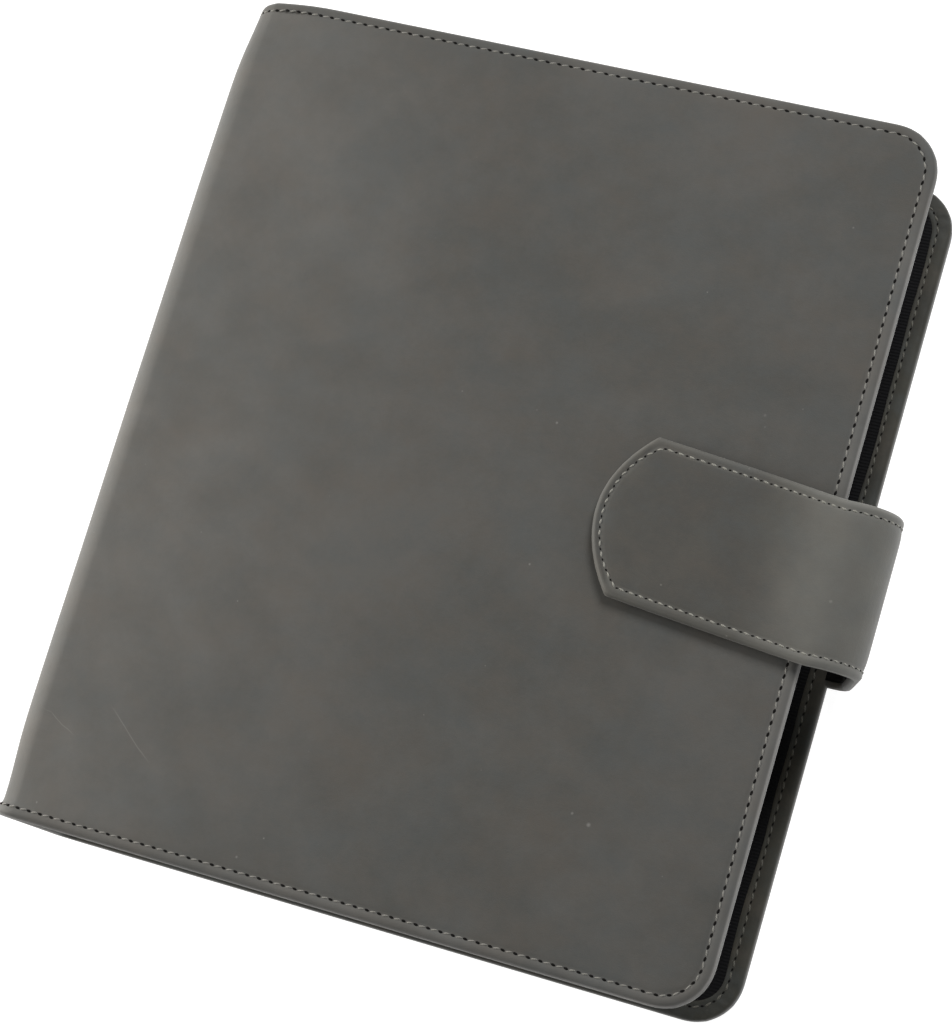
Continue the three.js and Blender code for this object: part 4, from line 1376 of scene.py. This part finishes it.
# %% Pocket over the writing pad
PAD_FORE = COVER_WIDTH - 16.0
PAD_WIDTH = 136.0
PAD_HALF = HALF_HEIGHT - 14.5
PAD_FLOOR = LINING_DEPTH
PAD_TOP = PAD_FLOOR + 4.7
PAD_CLEARANCE = 1.2
PAD_POCKET_FORE = PAD_FORE + PAD_CLEARANCE
PAD_POCKET_HALF = PAD_HALF + PAD_CLEARANCE
PAD_POCKET_OPEN = PAD_POCKET_FORE - 63.2
PAD_POCKET_DIP = 12.0
PAD_POCKET_TOP = PAD_TOP + PAD_CLEARANCE
PAD_POCKET_RIM_START = PAD_FLOOR + 0.05
SHOULDER_RINGS = ((0.05, 1.6), (0.3, 0.75), (0.7, 0.3), (1.3, 0.05), (2.2, 0.0))
PAD_POCKET_CUT_STEP = 35.0
PAD_POCKET_CUT_END = 3 * PAD_POCKET_CUT_STEP
PAD_POCKET_LEATHER = 0.75
PAD_WALL_TOP = PAD_POCKET_TOP - 0.9
PAD_WALL_DEPTH = 0.8
PAD_WALL_END = PAD_POCKET_HALF - 0.6
PAD_SEAM_INSET = 3.0


def open_edge(y):
    """Where the pocket's curved open edge lies at a height y."""
    share = y / PAD_POCKET_HALF
    return PAD_POCKET_OPEN + PAD_POCKET_DIP * (1 - share * share)


def on_open_wall(face):
    """Whether a face stands under the curved edge, where the pad goes in."""
    middle = face.calc_center_median()
    if middle.z >= PAD_WALL_TOP or abs(middle.y) >= PAD_WALL_END:
        return False
    return middle.x < open_edge(middle.y) + PAD_WALL_DEPTH


def pad_pocket():
    bm = bmesh.new()
    heights = [PAD_POCKET_HALF * (1 - 2 * step / ARC_STEPS) for step in range(ARC_STEPS + 1)]
    outline = [(PAD_POCKET_FORE, -PAD_POCKET_HALF), (PAD_POCKET_FORE, PAD_POCKET_HALF)]
    outline += [(open_edge(y), y) for y in heights]
    face = bm.faces.new([bm.verts.new((x, y, PAD_POCKET_RIM_START)) for x, y in outline])
    ringed(bm, face, [(distance, PAD_POCKET_TOP - below) for distance, below in SHOULDER_RINGS])
    grid_cuts(bm, -PAD_POCKET_CUT_END, PAD_POCKET_CUT_END, PAD_POCKET_CUT_STEP, ACROSS)
    bmesh.ops.delete(bm, geom=[part for part in bm.faces if on_open_wall(part)], context="FACES")
    bmesh.ops.recalc_face_normals(bm, faces=bm.faces[:])
    if max(bm.faces, key=lambda part: part.calc_area()).normal.z < 0:
        bmesh.ops.reverse_faces(bm, faces=bm.faces[:])
    piece = make_piece(bm, "pad_pocket_leather", pocket_leather, closed=False)
    modifier(piece, "SOLIDIFY", thickness=PAD_POCKET_LEATHER * MM, offset=-1.0, use_rim=True)
    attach(piece, "back_cover")
    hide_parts("pad_pocket")


pad_pocket()
seam_x = PAD_POCKET_FORE - PAD_SEAM_INSET
seam_y = PAD_POCKET_HALF - PAD_SEAM_INSET
seam_start = PAD_POCKET_OPEN + PAD_SEAM_INSET
pad_seam = seam_through((seam_start, -seam_y), (seam_x, -seam_y), (seam_x, seam_y), (seam_start, seam_y))
edge_marks = [seam_y * (2 * step / ARC_STEPS - 1) for step in range(ARC_STEPS + 1)]
edge_seam = seam_through(*((open_edge(y) + PAD_SEAM_INSET, y) for y in edge_marks))
for label, run in (("sides", pad_seam), ("edge", edge_seam)):
    for sewn in stitched(f"pad_pocket_{label}", run, PAD_POCKET_TOP, 1, lying, inner_thread, inner=True,
                         pitch=POCKET_PITCH, pit_scale=SMALL_PIT_SCALE):
        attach(sewn, "back_cover")

# %% [markdown]
# The writing pad
#
# A pad is loose sheets glued at the head on a grey card. A dozen thin leaves, each shifted by a hair,
# stand for the sheets, so its edges look like paper and not like a block. A dark tape folds over the glued
# head. The top leaf has faint ruled lines.

# %% Sheets, card and tape
PAD_LEAVES = 12
PAD_CARD = 0.9
PAD_SLIP = 0.35
LEAF_NOISE_STEP = 1.7
LEAF_MARGIN = 0.4
HEAD_MARGIN = 0.3
LEAF_SHARE = 0.92
TAPE_WIDTH = 9.0
TAPE_MARGIN = 0.2
TAPE_LAP = 0.15
TAPE_START = 0.3
TAPE_LIFT = 0.02
PAD_SPINE = PAD_FORE - PAD_WIDTH
CARD_TOP = PAD_FLOOR + PAD_CARD
LEAF_PITCH = (PAD_TOP - CARD_TOP) / PAD_LEAVES


def add_slab(bm, *ranges):
    """A thin box between its ranges along the three axes."""
    size = [high - low for low, high in ranges]
    centre = [(high + low) / 2 for low, high in ranges]
    matrix = Matrix.Translation(centre) @ Matrix.Diagonal((*size, 1.0))
    bmesh.ops.create_cube(bm, size=1.0, matrix=matrix)


def ruled_paper(name):
    finish = Finish(name, "object", Specular_IOR_Level=0.3)
    fibre = finish.noise(FIBRE_SIZE, detail=4.0, roughness=0.6)
    sheet = finish.mix(fibre * 0.25, colour(238, 234, 222), colour(226, 220, 204))
    finish.feed("Base Color", finish.mix(ruled_lines(finish) * 0.45, sheet, RULE_INK))
    finish.feed("Roughness", 0.86 + (fibre - 0.5) * 0.1)
    finish.feed("Normal", finish.bump(fibre, depth_mm=0.02, strength=0.5))
    return finish.material


def layer_noise(place, line):
    """The smooth noise at a place on one of its lines, so each layer has its own fixed value."""
    return noise.noise(Vector((place, line, 0.0)))


def add_leaf(bm, number):
    """One leaf, a hair out of line with the others at the sides and the tail."""
    slip_x = layer_noise(number * LEAF_NOISE_STEP, 0.0) * PAD_SLIP
    slip_y = abs(layer_noise(number * LEAF_NOISE_STEP, 5.0)) * PAD_SLIP
    low = CARD_TOP + number * LEAF_PITCH
    add_slab(bm, (PAD_SPINE + LEAF_MARGIN + slip_x, PAD_FORE - LEAF_MARGIN + slip_x),
             (-PAD_HALF + LEAF_MARGIN + slip_y, PAD_HALF - HEAD_MARGIN), (low, low + LEAF_PITCH * LEAF_SHARE))


def pad_piece(bm, name, material):
    piece = make_piece(bm, name, material, smooth=False)
    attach(piece, "back_cover")
    return piece


leaf_stack = bmesh.new()
for number in range(PAD_LEAVES):
    add_leaf(leaf_stack, number)
leaves = pad_piece(leaf_stack, "writing_pad_leaves", ruled_paper("ruled_paper"))
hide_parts("notepad")
card = bmesh.new()
add_slab(card, (PAD_SPINE, PAD_FORE), (-PAD_HALF, PAD_HALF), (PAD_FLOOR, CARD_TOP))
pad_piece(card, "writing_pad_card", grey_board)
tape = bmesh.new()
add_slab(tape, (PAD_SPINE + TAPE_MARGIN, PAD_FORE - TAPE_MARGIN),
         (PAD_HALF - TAPE_WIDTH, PAD_HALF + TAPE_LAP), (PAD_FLOOR + TAPE_START, PAD_TOP + TAPE_LIFT))
pad_piece(tape, "writing_pad_tape", binding_tape)

# %% [markdown]
# Refill pages and the ring mechanism
#
# The CAD model already has the pages' arc-shaped holes and the rings' skewed mouths, so copies of those
# meshes are the start here. The page block is cut into thin bundles that are shifted by a hair, and the
# rings, levers and rail get smooth shading with sharp rims.

# %% Pages cut into bundles
BUNDLE_PITCH = 0.65
BUNDLE_SLIP = 0.28
BUNDLE_CREVICE = 0.03
BUNDLE_NOISE_STEP = 2.3
HOLE_REACH = 80.0
HOLE_STRIP = 52.0
MERGE_DISTANCE = 0.002
UPRIGHT = (0, 0, 1)


def merged_copy(node_name):
    bm = bmesh.new()
    bm.from_mesh(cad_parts[node_name].data)
    bmesh.ops.remove_doubles(bm, verts=bm.verts[:], dist=MM * MERGE_DISTANCE)
    return bm


def finished_copy(bm, name, material, body, node_name):
    print(name, len(bm.faces), "faces")
    piece = placed(name, mesh_of(bm, name, material))
    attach(piece, body)
    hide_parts(node_name)


def page_bundles(node_name, body):
    """Cuts a page block below and above each crevice, then shifts its layers, except beside the holes."""
    bm = merged_copy(node_name)
    low = min(vert.co.z for vert in bm.verts)
    high = max(vert.co.z for vert in bm.verts)
    count = round((high - low) / (BUNDLE_PITCH * MM))
    pitch = (high - low) / count
    for number in range(1, count):
        for place in (number - BUNDLE_CREVICE, number + BUNDLE_CREVICE):
            sliced(bm, (0, 0, low + place * pitch), UPRIGHT)
    for vert in bm.verts:
        beside_holes = vert.co.x / MM + ROW_SHIFT < HOLE_STRIP
        if beside_holes and abs(vert.co.y) / MM < HOLE_REACH:
            continue
        place = math.floor((vert.co.z - low) / pitch) * BUNDLE_NOISE_STEP
        vert.co.x += layer_noise(place, 0.5) * BUNDLE_SLIP * MM
        vert.co.y += layer_noise(place, 7.5) * BUNDLE_SLIP * MM
    finished_copy(bm, f"{node_name}_bundles", cream_paper, body, node_name)


page_bundles("front_pages", "front_refill")
page_bundles("rear_pages", "rear_refill")

# %% Polished metal
SHARP_ANGLE = math.radians(50)
RING_COUNT = 6


def polished(node_name, body):
    bm = merged_copy(node_name)
    for face in bm.faces:
        face.smooth = True
    for edge in bm.edges:
        edge.smooth = len(edge.link_faces) == 2 and edge.calc_face_angle(math.pi) < SHARP_ANGLE
    finished_copy(bm, f"{node_name}_polished", nickel, body, node_name)


for number in range(1, RING_COUNT + 1):
    polished(f"upper_ring_{number}", "upper_rings")
    polished(f"lower_ring_{number}", "lower_rings")
for end in ("head", "tail"):
    polished(f"{end}_lever", f"{end}_lever")
    polished(f"{end}_rivet", "spine")
polished("ring_rail", "spine")

# %% [markdown]
# Floor, light and camera
#
# The planner was photographed on white under broad soft light, mostly from the head side, with a gentle
# fill from the left that picks out the rounded spine. The camera stands above the tail of the fore half
# and looks down across the cover.

# %% Floor
FLOOR_REACH = 12.0
FLOOR_DROP = 0.35
FLOOR_GLOW = 0.92
WHITE = (1.0, 1.0, 1.0, 1.0)


def white_floor():
    bm = bmesh.new()
    bmesh.ops.create_grid(bm, x_segments=1, y_segments=1, size=FLOOR_REACH)
    set_depth(bm.verts, -FLOOR_DROP * MM)
    finish = Finish("white_floor", "object", Roughness=0.9, Specular_IOR_Level=0.1, Emission_Color=WHITE,
                    Emission_Strength=FLOOR_GLOW)
    finish.feed("Base Color", finish.mix(finish.noise(60.0), colour(158, 158, 158), colour(164, 164, 164)))
    floor = placed("floor", mesh_of(bm, "floor", finish.material))
    print("floor reaches", FLOOR_REACH, "m each way")


white_floor()

# %% Lights
LIGHT_TARGET = Vector((0.0, 0.0, 0.03))
WORLD_STRENGTH = 0.24


def soft_light(name, place, size, power, tint):
    """A square lamp that looks at the planner's middle; its place is in metres."""
    lamp = bpy.data.lights.new(name, "AREA")
    lamp.shape = "SQUARE"
    lamp.size = size
    lamp.energy = power
    lamp.color = tint
    light = placed(name, lamp)
    light.location = place
    light.rotation_euler = (LIGHT_TARGET - Vector(place)).to_track_quat("-Z", "Y").to_euler()
    print(name, power, "W")


soft_light("head_softbox", (0.38, 0.82, 0.95), size=0.5, power=14.2, tint=(1.0, 1.0, 1.0))
soft_light("spine_fill", (-0.7, -0.04, 0.27), size=0.5, power=7.6, tint=(1.0, 0.96, 0.9))
soft_light("fore_fill", (0.9, -0.5, 0.5), size=0.7, power=1.2, tint=(0.94, 0.97, 1.0))
world = bpy.data.worlds.new("studio")
world.use_nodes = True
background = world.node_tree.nodes["Background"]
background.inputs["Color"].default_value = WHITE
background.inputs["Strength"].default_value = WORLD_STRENGTH
bpy.context.scene.world = world
bpy.context.scene.view_settings.view_transform = "Standard"

# %% Camera
# The camera was fitted to the photograph: lengths in pixels, its place in millimetres of the sketch.
IMAGE_WIDTH = 952
IMAGE_HEIGHT = 1024
FOCAL_PIXELS = 2786.6
PRINCIPAL_X = 457.1
PRINCIPAL_Y = 540.7
CAMERA_PLACE = (318.57, -131.38, 723.34)
VIEW_DIRECTION = Vector((-0.30114, 0.16010, -0.94004))
VIEW_UPWARDS = Vector((-0.22891, 0.94484, 0.23425))
SENSOR = 24.0
optics = bpy.data.cameras.new("camera")
optics.sensor_fit = "VERTICAL"
optics.sensor_height = SENSOR
optics.lens = FOCAL_PIXELS / IMAGE_HEIGHT * SENSOR
optics.shift_x = (IMAGE_WIDTH / 2 - PRINCIPAL_X) / IMAGE_HEIGHT
optics.shift_y = (PRINCIPAL_Y - IMAGE_HEIGHT / 2) / IMAGE_HEIGHT
camera = placed("camera", optics)
away = -VIEW_DIRECTION.normalized()
right = VIEW_UPWARDS.normalized().cross(away).normalized()
turn = Matrix((right, away.cross(right), away)).transposed()
camera.matrix_world = Matrix.Translation(row(*CAMERA_PLACE)) @ turn.to_4x4()
bpy.context.scene.camera = camera
print("lens:", round(optics.lens, 1), "mm")
